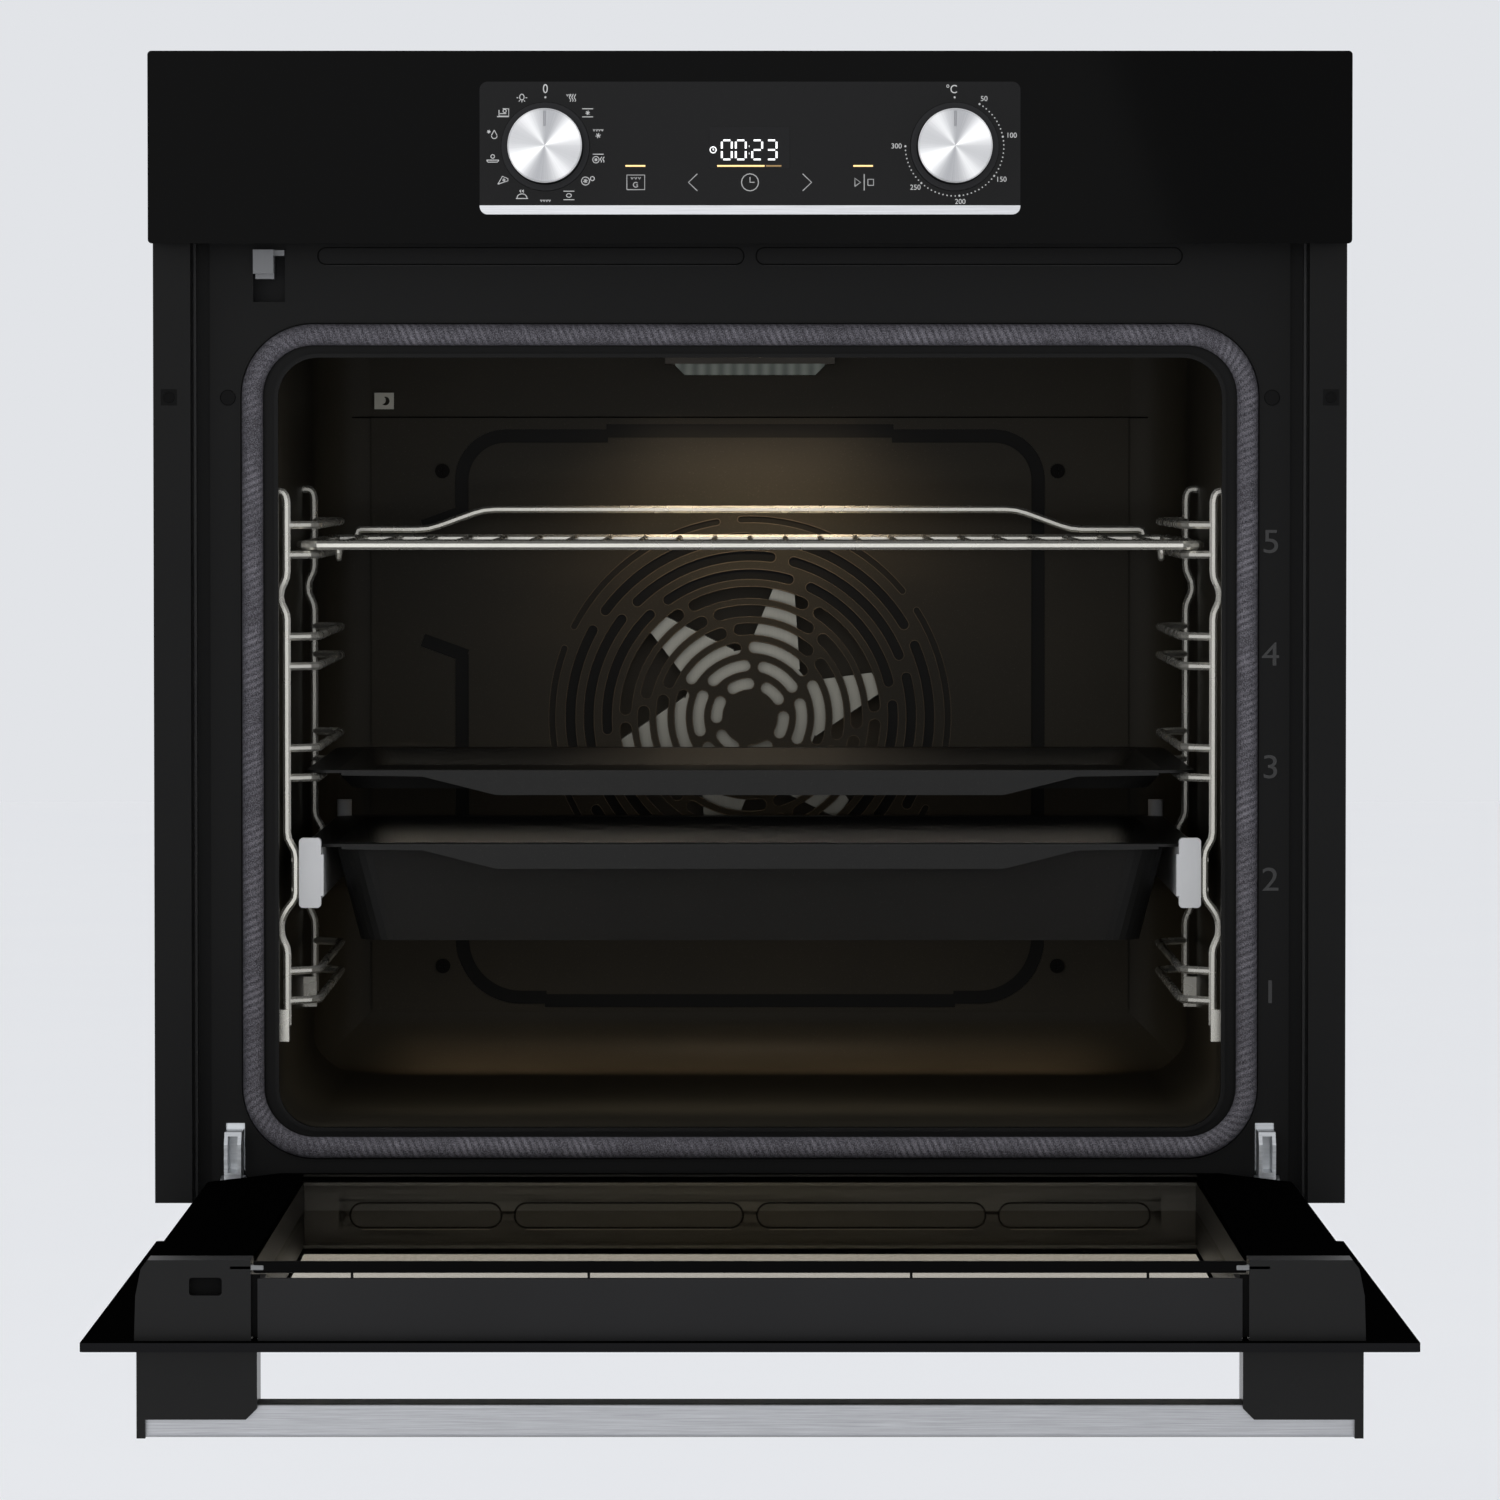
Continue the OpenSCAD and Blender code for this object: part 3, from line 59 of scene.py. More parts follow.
# Places shared with the solids, in millimetres
KNOB_X = 101.0
KNOB_Z = 123.5
KNOB_FACE = -39.0
INSERT_FRONT = -23.0
INNER_Z = -386.4
DOOR_END = -452.4
COVER_Y = 440.5
FAN_Z = -172.85
RING_START = 18.4
RING_PITCH = 10.05
RING_TURN = 106.5
RING_TWIST = 8.85
NICHE_SCREW_X = 288.7
TRIM_FRONT = -1.5
LEVEL_X = 260.6
LEVEL_TOP = -72.5
LEVEL_PITCH = 56.4
POCKET_Y = 44.6

# Places of what is printed, in millimetres
PRINT_FRONT = INSERT_FRONT - 0.04
SIGN_RING = 26.7
DIAL_RING = 24.3
KEY_PITCH = 28.2
KEY_Z = 105.9

# Height of the floor, in metres
FLOOR_Z = -0.78


# ---------- small helpers ----------

def lin(*rgb):
    """Written colour, 0 to 255, as the linear one that a shader takes."""
    out = []
    for c in rgb:
        c = c / 255
        out.append(c / 12.92 if c <= 0.04045 else ((c + 0.055) / 1.055) ** 2.4)
    return (*out, 1.0)


class Wire:
    """A shader value that adds its own maths nodes."""

    def __init__(self, paint, socket):
        self.paint, self.socket = paint, socket

    def _math(self, op, a, b=None):
        node = self.paint.tree.nodes.new("ShaderNodeMath")
        node.operation = op
        self.paint.feed(node.inputs[0], a)
        if b is not None:
            self.paint.feed(node.inputs[1], b)
        return Wire(self.paint, node.outputs[0])

    def __add__(self, other): return self._math("ADD", self, other)
    def __sub__(self, other): return self._math("SUBTRACT", self, other)
    def __rsub__(self, other): return self._math("SUBTRACT", other, self)
    def __mul__(self, other): return self._math("MULTIPLY", self, other)
    def __rmul__(self, other): return self._math("MULTIPLY", other, self)
    def __truediv__(self, other): return self._math("DIVIDE", self, other)
    def __gt__(self, other): return self._math("GREATER_THAN", self, other)
    def __lt__(self, other): return self._math("LESS_THAN", self, other)
    def size(self): return self._math("ABSOLUTE", self)
    def sine(self): return self._math("SINE", self)
    def power(self, other): return self._math("POWER", self, other)

    def ramp(self, low, high):
        """0 at low, 1 at high, straight between them."""
        return self.paint.node("ShaderNodeMapRange", {"clamp": True},
                               {"Value": self, "From Min": low, "From Max": high})


class Paint:
    """One material: nodes are added by method, and the finish is set at the end."""

    def __init__(self, name):
        self.mat = bpy.data.materials.new(name)
        self.mat.use_nodes = True
        self.tree = self.mat.node_tree
        self.shader = self.tree.nodes["Principled BSDF"]
        self.output = self.tree.nodes["Material Output"]
        self._at = None

    def feed(self, socket, value):
        if isinstance(value, Wire):
            self.tree.links.new(value.socket, socket)
        else:
            socket.default_value = value

    def node(self, kind, settings=None, sockets=None, out=0):
        made = self.tree.nodes.new(kind)
        for key, value in (settings or {}).items():
            setattr(made, key, value)
        for key, value in (sockets or {}).items():
            self.feed(made.inputs[key], value)
        return Wire(self, made.outputs[out])

    def place(self):
        """The place on the piece, in metres, as three values."""
        if self._at is None:
            where = self.node("ShaderNodeTexCoord", out=3)
            split = self.tree.nodes.new("ShaderNodeSeparateXYZ")
            self.tree.links.new(where.socket, split.inputs[0])
            self._at = (where, *[Wire(self, o) for o in split.outputs])
        return self._at

    def noise(self, scale, detail=3.0, stretch=(1, 1, 1), rough=0.55):
        where = self.node("ShaderNodeMapping", {}, {"Vector": self.place()[0], "Scale": stretch})
        return self.node("ShaderNodeTexNoise", {},
                         {"Vector": where, "Scale": scale, "Detail": detail, "Roughness": rough})

    def mix(self, factor, a, b):
        made = self.tree.nodes.new("ShaderNodeMix")
        made.data_type = "RGBA"
        self.feed(made.inputs[0], factor)
        self.feed(made.inputs[6], a)
        self.feed(made.inputs[7], b)
        return Wire(self, made.outputs[2])

    def bump(self, height, strength=0.2, distance=0.0003):
        return self.node("ShaderNodeBump", {},
                         {"Height": height, "Strength": strength, "Distance": distance})

    def finish(self, **values):
        for key, value in values.items():
            self.feed(self.shader.inputs[key.replace("_", " ")], value)
        return self.mat

    def see_through(self, share, tint=(1, 1, 1, 1)):
        """Lets a share of the light straight through, as thin glass does."""
        clear = self.node("ShaderNodeBsdfTransparent", {}, {"Color": tint})
        made = self.tree.nodes.new("ShaderNodeMixShader")
        self.feed(made.inputs[0], share)
        self.tree.links.new(self.shader.outputs[0], made.inputs[1])
        self.tree.links.new(clear.socket, made.inputs[2])
        self.tree.links.new(made.outputs[0], self.output.inputs[0])
        return self.mat


# ---------- finishes ----------

def satin_enamel(name, colour, lighter, rough=0.42, specular=0.2):
    """Smooth enamel or paint with a fine grain."""
    p = Paint(name)
    cloud = p.noise(9, 2)
    grain = p.noise(900, 2)
    return p.finish(Base_Color=p.mix(cloud.ramp(0.35, 0.7), colour, lighter),
                    Roughness=cloud * 0.08 + (rough - 0.04), Specular_IOR_Level=specular,
                    Normal=p.bump(grain, 0.12, 0.0001))


def cavity_enamel(name="cavity_enamel", shaded_from_y=None, dark=(42, 39, 32), pale=(52, 48, 40)):
    """Speckled brown enamel; what lies deeper than the given depth is darker, as painted shade in the
    grooves.
    """
    p = Paint(name)
    cloud = p.noise(7, 3)
    specks = p.noise(1400, 1).ramp(0.66, 0.72)
    colour = p.mix(cloud.ramp(0.3, 0.75), lin(*dark), lin(*pale))
    colour = p.mix(specks * 0.2, colour, lin(92, 86, 76))
    if shaded_from_y is not None:
        # Painted shade: what lies deeper than the cover's face is darkened, as shade in its grooves.
        depth = p.place()[2].ramp((COVER_Y + 0.15) * MM, shaded_from_y * MM)
        colour = p.mix(depth * 0.92, colour, lin(6, 6, 5))
    return p.finish(Base_Color=colour, Roughness=cloud * 0.1 + 0.4, Specular_IOR_Level=0.14,
                    Normal=p.bump(p.noise(160, 2), 0.05, 0.0004))


def tray_enamel():
    """Near-black enamel with a few pale specks."""
    p = Paint("tray_enamel")
    cloud = p.noise(6, 3)
    specks = p.noise(1100, 1).ramp(0.67, 0.73)
    colour = p.mix(cloud.ramp(0.3, 0.7), lin(18, 18, 18), lin(22, 22, 21))
    return p.finish(Base_Color=p.mix(specks * 0.15, colour, lin(72, 72, 70)),
                    Roughness=cloud * 0.1 + 0.36, Specular_IOR_Level=0.2,
                    Normal=p.bump(p.noise(120, 2), 0.05, 0.0004))


def galvanised(name="galvanised_sheet", painted_to=None):
    """Zinc-coated sheet with a faint grey spangle, painted black in front of a given depth."""
    p = Paint(name)
    y = p.place()[2]
    spangle = p.noise(90, 2).ramp(0.35, 0.65)
    cloud = p.noise(7, 2)
    zinc = p.mix(spangle, lin(144, 147, 150), lin(151, 154, 157))
    roughness = cloud * 0.08 + 0.42
    if painted_to is None:
        return p.finish(Base_Color=zinc, Metallic=0.7, Roughness=roughness,
                        Normal=p.bump(spangle, 0.04, 0.0001))
    bare = y > painted_to * MM
    return p.finish(Base_Color=p.mix(bare, lin(16, 16, 16), zinc), Metallic=bare * 0.7,
                    Roughness=roughness, Normal=p.bump(spangle, 0.04, 0.0001))


def brushed(name, colour, stretch=(1, 60, 60), rough=0.3, depth=0.1, tone=0.12):
    """Metal with grinding lines along one axis."""
    p = Paint(name)
    lines = p.noise(28, 4, stretch, 0.7)
    darker = tuple(c * (1 - 2 * tone) for c in colour[:3]) + (1,)
    lighter = tuple(min(1, c * (1 + tone)) for c in colour[:3]) + (1,)
    return p.finish(Base_Color=p.mix(lines.ramp(0.25, 0.75), darker, lighter), Metallic=1.0,
                    Roughness=lines * 0.18 + (rough - 0.09), Normal=p.bump(lines, depth, 0.0001))


def knob_metal(name, centre_x):
    """A turned face: fine rings, with painted highlights: bright sectors that meet at the middle."""
    p = Paint(name)
    _, x, y, z = p.place()
    dx, dz = x - centre_x * MM, z - KNOB_Z * MM
    angle = p.node("ShaderNodeMath", {"operation": "ARCTAN2"}, {0: dz, 1: dx})
    radius = (dx * dx + dz * dz).power(0.5)

    def painted_highlight_line(degrees, narrow):
        """Painted highlight along one line through the middle."""
        return (angle + math.radians(90 - degrees)).sine().size().power(narrow)

    streaks = p.node("ShaderNodeTexNoise", {"noise_dimensions": "1D"},
                     {"W": angle, "Scale": 22.0, "Detail": 4.0})
    rings = (radius * 9000).sine()
    # Painted highlight: the bright and dark sectors stand in for the turned metal's reflections.
    shade = painted_highlight_line(30, 14) * 0.85 + painted_highlight_line(124, 26) * 0.4 + painted_highlight_line(78, 10) * -0.22 + streaks * 0.18 + 0.24
    disc = p.mix(shade.ramp(0, 1), lin(150, 151, 155), lin(250, 250, 250))
    collar = y > (KNOB_FACE + 3) * MM
    side = p.mix(p.noise(60, 2, (1, 40, 1)), lin(165, 166, 168), lin(205, 206, 208))
    face = y < (KNOB_FACE + 0.2) * MM
    return p.finish(Base_Color=p.mix(face, p.mix(collar, side, lin(22, 22, 24)), disc), Metallic=0.55,
                    Roughness=streaks * 0.1 + 0.3, Normal=p.bump(rings, 0.08, 0.00005))


def wire_chrome():
    """Warm bright chrome of the racks and the shelf."""
    p = Paint("wire_chrome")
    cloud = p.noise(40, 2)
    return p.finish(Base_Color=p.mix(cloud, lin(196, 194, 186), lin(216, 214, 206)), Metallic=0.8,
                    Roughness=cloud * 0.06 + 0.24, Normal=p.bump(p.noise(300, 2), 0.01, 0.0001))


def heater_tube():
    """Heat-stained steel."""
    p = Paint("heater_tube")
    cloud = p.noise(60, 4)
    return p.finish(Base_Color=p.mix(cloud.ramp(0.3, 0.7), lin(52, 48, 46), lin(92, 84, 78)),
                    Metallic=0.6, Roughness=cloud * 0.2 + 0.45,
                    Normal=p.bump(p.noise(700, 2), 0.2, 0.0002))


def wool():
    """Yellowish mineral wool."""
    p = Paint("mineral_wool")
    fibres = p.noise(120, 6, (1, 3, 1), 0.75)
    return p.finish(Base_Color=p.mix(fibres, lin(176, 160, 112), lin(222, 210, 168)), Roughness=0.95,
                    Normal=p.bump(fibres, 0.9, 0.002))


def rope_braid():
    """Braided glass fibre: fine slanting strands round the rope, under loose fibres."""
    p = Paint("rope_braid")
    along = p.node("ShaderNodeAttribute", {"attribute_name": "along"}, out=2)
    around = p.node("ShaderNodeAttribute", {"attribute_name": "around"}, out=2)
    slant = along * (2 * math.pi / 0.0036) + around * 3.6
    patches = p.noise(55, 2).ramp(0.3, 0.7)
    strands = slant.sine() * 0.5 + 0.5
    fibre = p.noise(1900, 3)
    height = strands * 0.2 * patches + fibre
    colour = p.mix(height.ramp(0.42, 0.8), lin(44, 43, 47), lin(116, 114, 121))
    return p.finish(Base_Color=colour, Roughness=0.85, Specular_IOR_Level=0.15,
                    Normal=p.bump(height, 0.5, 0.0005))


def plastic(name, colour, rough=0.4, grain=0.12, specular=0.25):
    """Moulded plastic with a fine grain."""
    p = Paint(name)
    cloud = p.noise(20, 2)
    lighter = tuple(c * 1.25 for c in colour[:3]) + (1,)
    return p.finish(Base_Color=p.mix(cloud, colour, lighter), Roughness=cloud * 0.06 + rough,
                    Specular_IOR_Level=specular,
                    Normal=p.bump(p.noise(1200, 2), grain, 0.0001))


def flat_paint(name, *rgb):
    """Matt paint for thin shadow and light lines."""
    return plastic(name, lin(*rgb), 0.6, 0.02, 0.05)


def panel_glass():
    """The black glass of the control panel."""
    p = Paint("black_glass")
    cloud = p.noise(3, 2)
    return p.finish(Base_Color=p.mix(cloud, lin(1, 1, 1), lin(1.5, 1.5, 1.5)),
                    Roughness=cloud * 0.02 + 0.04, Specular_IOR_Level=0.06)


def printed_insert():
    """The slightly paler printed field of the panel."""
    p = Paint("printed_insert")
    cloud = p.noise(4, 2)
    return p.finish(Base_Color=p.mix(cloud, lin(11, 11, 12), lin(13, 13, 14)),
                    Roughness=cloud * 0.05 + 0.12, Specular_IOR_Level=0.14)


def circuit_board():
    """Green board with tracks."""
    p = Paint("circuit_board")
    tracks = p.noise(220, 1).ramp(0.5, 0.52)
    return p.finish(Base_Color=p.mix(tracks, lin(24, 84, 48), lin(38, 112, 66)), Roughness=0.45,
                    Normal=p.bump(tracks, 0.2, 0.0001))


def clear_glass(name, tint, share, rough=0.03):
    """Clear glass without a border."""
    p = Paint(name)
    cloud = p.noise(12, 2)
    p.finish(Base_Color=p.mix(cloud, tint, tuple(c * 0.85 for c in tint[:3]) + (1,)),
             Roughness=cloud * 0.02 + rough)
    return p.see_through(share)


def door_glass(name, half_x, low_y, high_y, tint, share, border, rough=0.05, specular=0.3,
               edge_y=-9.0):
    """Float glass with a printed border: clear inside a window, nearly black outside it.

    In front of edge_y, in metres, the border is a little paler, as a ground edge is.
    """
    p = Paint(name)
    _, x, y, _ = p.place()
    inside = ((x.size() < half_x * MM) * (y > low_y * MM)) * (y < high_y * MM)
    cloud = p.noise(5, 2)
    ground = p.mix(y < edge_y, border, lin(22, 22, 23))
    p.finish(Base_Color=p.mix(inside, ground, tint), Roughness=cloud * 0.03 + rough,
             Specular_IOR_Level=specular)
    return p.see_through(inside * share, tint=lin(246, 244, 240))


def lamp_glass():
    """Ribbed milky glass of the oven lamp."""
    p = Paint("lamp_glass")
    _, x, _, z = p.place()
    ribs = (x * 900).sine()
    p.finish(Base_Color=p.mix(ribs.ramp(-1, 1), lin(112, 120, 112), lin(150, 158, 148)), Roughness=0.25,
             Normal=p.bump(ribs, 0.2, 0.0005))
    return p.see_through(0.12)


def air_channel_sheet(name="air_channel_sheet", shade=1.0):
    """The pressed sheet behind the inner pane, paler and warmer towards the middle as painted light; shade
    darkens it all as painted shade.
    """
    p = Paint(name)
    # Painted light: paler and warmer towards the middle.
    painted_light_middle = p.place()[1].size().ramp(0.25, 0.02)
    side, centre = (tuple(c * shade for c in lin(*rgb)[:3]) + (1,) for rgb in ((66, 67, 68), (76, 74, 68)))
    return p.finish(Base_Color=p.mix(painted_light_middle, side, centre), Roughness=0.5,
                    Specular_IOR_Level=0.1, Normal=p.bump(p.noise(400, 2), 0.05, 0.0002))


FINISH = {
    "front_enamel": satin_enamel("front_enamel", lin(13, 13, 13), lin(15, 15, 15), 0.34, 0.1),
    "cavity_enamel": cavity_enamel(),
    "galvanised": galvanised(),
    "wool": wool(),
    "seal": rope_braid(),
    "screws": satin_enamel("dark_screws", lin(13, 12, 11), lin(19, 17, 15), 0.35, 0.03),
    "wire": wire_chrome(),
    "rail_steel": brushed("rail_steel", lin(190, 191, 193), (40, 1, 40), 0.34),
    "heater": heater_tube(),
    "lamp_metal": satin_enamel("lamp_metal", lin(70, 66, 60), lin(86, 80, 73), 0.4),
    "lamp_glass": lamp_glass(),
    "bulb": clear_glass("bulb_glass", lin(236, 224, 196), 0.6),
    "motor": satin_enamel("motor_steel", lin(92, 94, 97), lin(108, 110, 113), 0.45),
    "bright_steel": brushed("bright_steel", lin(146, 144, 135), (30, 30, 1), 0.34, 0.05, 0.05),
    "terminal": plastic("terminal_plastic", lin(40, 41, 43), 0.5),
    "panel_glass": panel_glass(),
    "insert": printed_insert(),
    "strip": brushed("strip_metal", lin(212, 213, 216), (1, 60, 60), 0.3),
    "carrier": plastic("carrier_plastic", lin(24, 24, 26), 0.45),
    "board": circuit_board(),
    "switch_body": plastic("switch_plastic", lin(78, 79, 82), 0.5),
    "knob": brushed("knob_metal", lin(215, 215, 216), (1, 30, 1), 0.3),
    "lever": plastic("lever_plastic", lin(112, 113, 115), 0.5),
    "tray": tray_enamel(),
    "zinc": brushed("zinc_plate", lin(208, 211, 214), (1, 1, 25), 0.32),
    "door_glass": door_glass("outer_pane", 222, -441, -6, lin(14, 13, 12), 0.93, lin(3, 3, 3),
                             specular=0.0, edge_y=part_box("door_outer_glass")[0].y + 0.6 * MM),
    "middle_glass": door_glass("middle_pane", 224, -446, -6, lin(24, 21, 18), 0.92, lin(16, 15, 14),
                               specular=0.0),
    "inner_glass": door_glass("inner_pane", 222, -452, -8, lin(16, 15, 14), 0.9, lin(2, 2, 2),
                              specular=0.0),
    "column": satin_enamel("column_coat", lin(12, 12, 13), lin(16, 16, 17), 0.4),
    "cap": plastic("cap_plastic", lin(14, 14, 14), 0.36, 0.12, 0.15),
    "handle_steel": brushed("handle_steel", lin(172, 173, 176), (1, 70, 70), 0.33, 0.14, 0.16),
    "bracket": plastic("bracket_plastic", lin(10, 10, 10), 0.25, 0.05, 0.15),
}

for part in frame["record"]["subparts"]:
    solid = NODES[part["node"]]
    solid.data.materials.clear()
    solid.data.materials.append(FINISH[part["material_slot"]])
NODES["door_bottom_profile"].data.materials[0] = air_channel_sheet()
# The fan cover's grooves are darkened by depth as painted shade.
NODES["fan_cover"].data.materials[0] = cavity_enamel("fan_cover_enamel_groove_shade", COVER_Y + 1.2)
NODES["rear_chamber"].data.materials[0] = cavity_enamel("chamber_enamel", None, (78, 72, 62), (90, 84, 74))
NODES["casing_wrap"].data.materials[0] = galvanised("casing_sheet", 70)
for knob, centre in (("function_knob", -KNOB_X), ("temperature_knob", KNOB_X)):
    NODES[knob].data.materials[0] = knob_metal(knob + "_face", centre)
for node in ("runner_slide_left", "runner_slide_right"):
    NODES[node].data.materials[0] = satin_enamel("runner_" + node[-5:], lin(176, 177, 179),
                                                 lin(188, 189, 191), 0.4)


# ---------- making pieces ----------

def clear_choice():
    """Leaves edit mode and selects nothing."""
    if bpy.context.object and bpy.context.object.mode != "OBJECT":
        bpy.ops.object.mode_set(mode="OBJECT")
    bpy.ops.object.select_all(action="DESELECT")


def only(piece):
    """Selects one piece and makes it the active one."""
    clear_choice()
    piece.select_set(True)
    bpy.context.view_layer.objects.active = piece


def settle(piece, name, body, slot, material=None):
    """Applies the place of a piece, names it and hangs it on its body."""
    only(piece)
    if piece.type != "MESH":
        bpy.ops.object.convert(target="MESH")
        piece = bpy.context.object
    bpy.ops.object.transform_apply(location=True, rotation=True, scale=True)
    piece.name = name
    piece.data.name = name
    piece.data.materials.clear()
    piece.data.materials.append(material or FINISH[slot])
    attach(piece, body)
    return piece


def join(pieces):
    """Makes one mesh of several."""
    clear_choice()
    for piece in pieces:
        piece.select_set(True)
    bpy.context.view_layer.objects.active = pieces[0]
    if len(pieces) > 1:
        bpy.ops.object.join()
    return bpy.context.object


def soften_edges(round_by, segments):
    """Rounds every edge of the active piece."""
    bpy.ops.object.mode_set(mode="EDIT")
    bpy.ops.mesh.select_all(action="SELECT")
    bpy.ops.mesh.bevel(offset=round_by * MM, segments=segments, affect="EDGES")
    bpy.ops.object.mode_set(mode="OBJECT")


def rounded_box(x0, x1, y0, y1, z0, z1, round_by, segments):
    """A box between two corners in millimetres, with softened edges."""
    clear_choice()
    bpy.ops.mesh.primitive_cube_add(
        size=1, location=((x0 + x1) / 2 * MM, (y0 + y1) / 2 * MM, (z0 + z1) / 2 * MM))
    box = bpy.context.object
    box.scale = ((x1 - x0) * MM, (y1 - y0) * MM, (z1 - z0) * MM)
    bpy.ops.object.transform_apply(location=True, rotation=True, scale=True)
    soften_edges(round_by, segments)
    return box


def swept(lines, radius, resolution, closed=False):
    """A mesh of round lines through points given as (x, y, z) in millimetres."""
    curve = bpy.data.curves.new("lines", "CURVE")
    curve.dimensions = "3D"
    curve.bevel_depth = radius * MM
    curve.bevel_resolution = resolution
    curve.use_fill_caps = not closed
    for points in lines:
        spline = curve.splines.new("POLY")
        spline.points.add(len(points) - 1)
        for point, (x, y, z) in zip(spline.points, points):
            point.co = (x * MM, y * MM, z * MM, 1)
        spline.use_cyclic_u = closed
    piece = bpy.data.objects.new("lines", curve)
    bpy.context.scene.collection.objects.link(piece)
    only(piece)
    bpy.ops.object.convert(target="MESH")
    return bpy.context.object


def strokes(lines, width):
    """Thin raised lines."""
    return swept(lines, width / 2, 1)


def flat_print(lines, y, width):
    """Printed lines in the front plane, through (x, z) points, hardly raised."""
    piece = strokes([[(x, 0, z) for x, z in line] for line in lines], width)
    piece.scale[1] = 0.25
    piece.location[1] = y * MM
    only(piece)
    bpy.ops.object.transform_apply(location=True, rotation=True, scale=True)
    return piece


def words(text, x, z, height, y, depth=0.05, stretch=1.0):
    """Numbers in the front plane, centred on a place."""
    clear_choice()
    bpy.ops.object.text_add(location=(x * MM, y * MM, z * MM), rotation=(math.pi / 2, 0, 0))
    label = bpy.context.object
    label.data.body = text
    label.data.align_x = "CENTER"
    label.data.align_y = "CENTER"
    label.data.size = height * 1.38 * MM
    label.data.extrude = depth * MM
    label.scale[0] = stretch
    only(label)
    bpy.ops.object.convert(target="MESH")
    label = bpy.context.object
    only(label)
    bpy.ops.object.transform_apply(location=True, rotation=True, scale=True)
    return label


def disc(x, y, z, radius, depth, vertices):
    """A short cylinder that faces the front."""
    bpy.ops.mesh.primitive_cylinder_add(vertices=vertices, radius=radius * MM, depth=depth * MM,
                                        rotation=(math.pi / 2, 0, 0), location=(x * MM, y * MM, z * MM))
    return bpy.context.object


def arc(cx, cz, r, start, stop, steps=24):
    """Points in the front plane, from one angle to another in degrees."""
    return [(cx + r * math.cos(math.radians(start + (stop - start) * i / steps)),
             cz + r * math.sin(math.radians(start + (stop - start) * i / steps)))
            for i in range(steps + 1)]


def glow(name, colour, strength=1.0):
    """A light bar that shines a little, or a print that shines as painted light."""
    p = Paint(name)
    fine = p.noise(300, 1)
    return p.finish(Base_Color=p.mix(fine * 0.1, colour, (0, 0, 0, 1)), Roughness=0.5,
                    Emission_Color=colour, Emission_Strength=strength)


# Painted light: the white and grey prints are no lamps but shine a little.
WHITE_PRINT_GLOW = glow("white_print_painted_glow", lin(186, 186, 186), 0.12)
GREY_PRINT_GLOW = glow("grey_print_painted_glow", lin(160, 160, 160), 0.08)
AMBER = glow("amber_light", lin(246, 206, 140), 0.75)
DIM_AMBER = glow("dim_amber_light", lin(132, 106, 66), 0.5)
DIGITS = glow("display_digits", lin(246, 247, 248), 0.8)


# ---------- the seal's braided rope ----------

MOUTH_MIDDLE = -172


def seal_path():
    """Points along the seal's centre line, 2 mm apart in the corners and 4 mm along the sides."""
    half, top, low, r = 248.75, 31.4, -375.6, 30.7
    corners = [(half - r, top - r, 90, 0), (half - r, low + r, 0, -90),
               (-half + r, low + r, -90, -180), (-half + r, top - r, 180, 90)]
    points = []
    for i, (cx, cz, a, b) in enumerate(corners):
        points += [(cx + r * math.cos(math.radians(a + (b - a) * k / 24)),
                    cz + r * math.sin(math.radians(a + (b - a) * k / 24))) for k in range(25)]
        nx, nz, na, _ = corners[(i + 1) % 4]
        end = (nx + r * math.cos(math.radians(na)), nz + r * math.sin(math.radians(na)))
        start = points[-1]
        steps = int(math.dist(start, end) / 4)
        points += [(start[0] + (end[0] - start[0]) * k / steps,
                    start[1] + (end[1] - start[1]) * k / steps) for k in range(1, steps)]
    return points


def seal_rope():
    """The seal as a braided rope, with its length and its girth written on each point."""
    path = seal_path()
    lo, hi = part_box("door_seal")
    mid_y = (lo.y + hi.y) / 2
    rope = swept([[(x, mid_y / MM, z) for x, z in path]], (hi.y - lo.y) / 2 / MM, 6, closed=True)
    lengths = [0.0]
    for a, b in zip(path, path[1:] + path[:1]):
        lengths.append(lengths[-1] + math.dist(a, b) * MM)
    count = len(rope.data.vertices) // len(path)
    along = rope.data.attributes.new("along", "FLOAT", "POINT")
    around = rope.data.attributes.new("around", "FLOAT", "POINT")
    for v in rope.data.vertices:
        ring = v.index // count
        along.data[v.index].value = lengths[ring]
        cx, cz = path[ring][0] * MM, path[ring][1] * MM
        out = math.hypot(v.co.x - cx, v.co.z - cz)
        inward = (v.co.x - cx) * cx + (v.co.z - cz) * (cz - MOUTH_MIDDLE * MM) < 0
        around.data[v.index].value = math.atan2(-out if inward else out, -(v.co.y - mid_y))
    only(rope)
    bpy.ops.object.shade_smooth()
    rope = settle(rope, "seal_rope", "root", "seal")
    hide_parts("door_seal")


seal_rope()


# ---------- the printed panel ----------

def bar(z, half=2.7):
    """A level line."""
    return [(-half, z), (half, z)]


def ring(radius, x=0.0, z=0.0):
    """A circle."""
    return arc(x, z, radius, 0, 360, 16)


def spokes(radius, x=0.0, z=0.0, count=3):
    """A small fan: lines that cross at one place."""
    lines = []
    for i in range(count):
        a = math.radians(180 / count * i + 15)
        dx, dz = radius * math.cos(a), radius * math.sin(a)
        lines.append([(x - dx, z - dz), (x + dx, z + dz)])
    return lines


def grill(z, teeth=4, half=2.7):
    """A row of short teeth, as the heating coil of a grill is drawn."""
    step = 2 * half / teeth
    lines = []
    for i in range(teeth):
        x = -half + step * (i + 0.5)
        lines.append([(x - step * 0.32, z + 0.5), (x, z - 0.5), (x + step * 0.32, z + 0.5)])
    return lines


def steam(x, low, high):
    """A wavy line that rises."""
    return [(x + 0.35 * math.sin(math.pi * i / 3), low + (high - low) * i / 8) for i in range(9)]


def oval(x, z, a, b, start=0, stop=360):
    """An ellipse or a part of one."""
    return [(x + a * math.cos(math.radians(start + (stop - start) * i / 16)),
             z + b * math.sin(math.radians(start + (stop - start) * i / 16))) for i in range(17)]


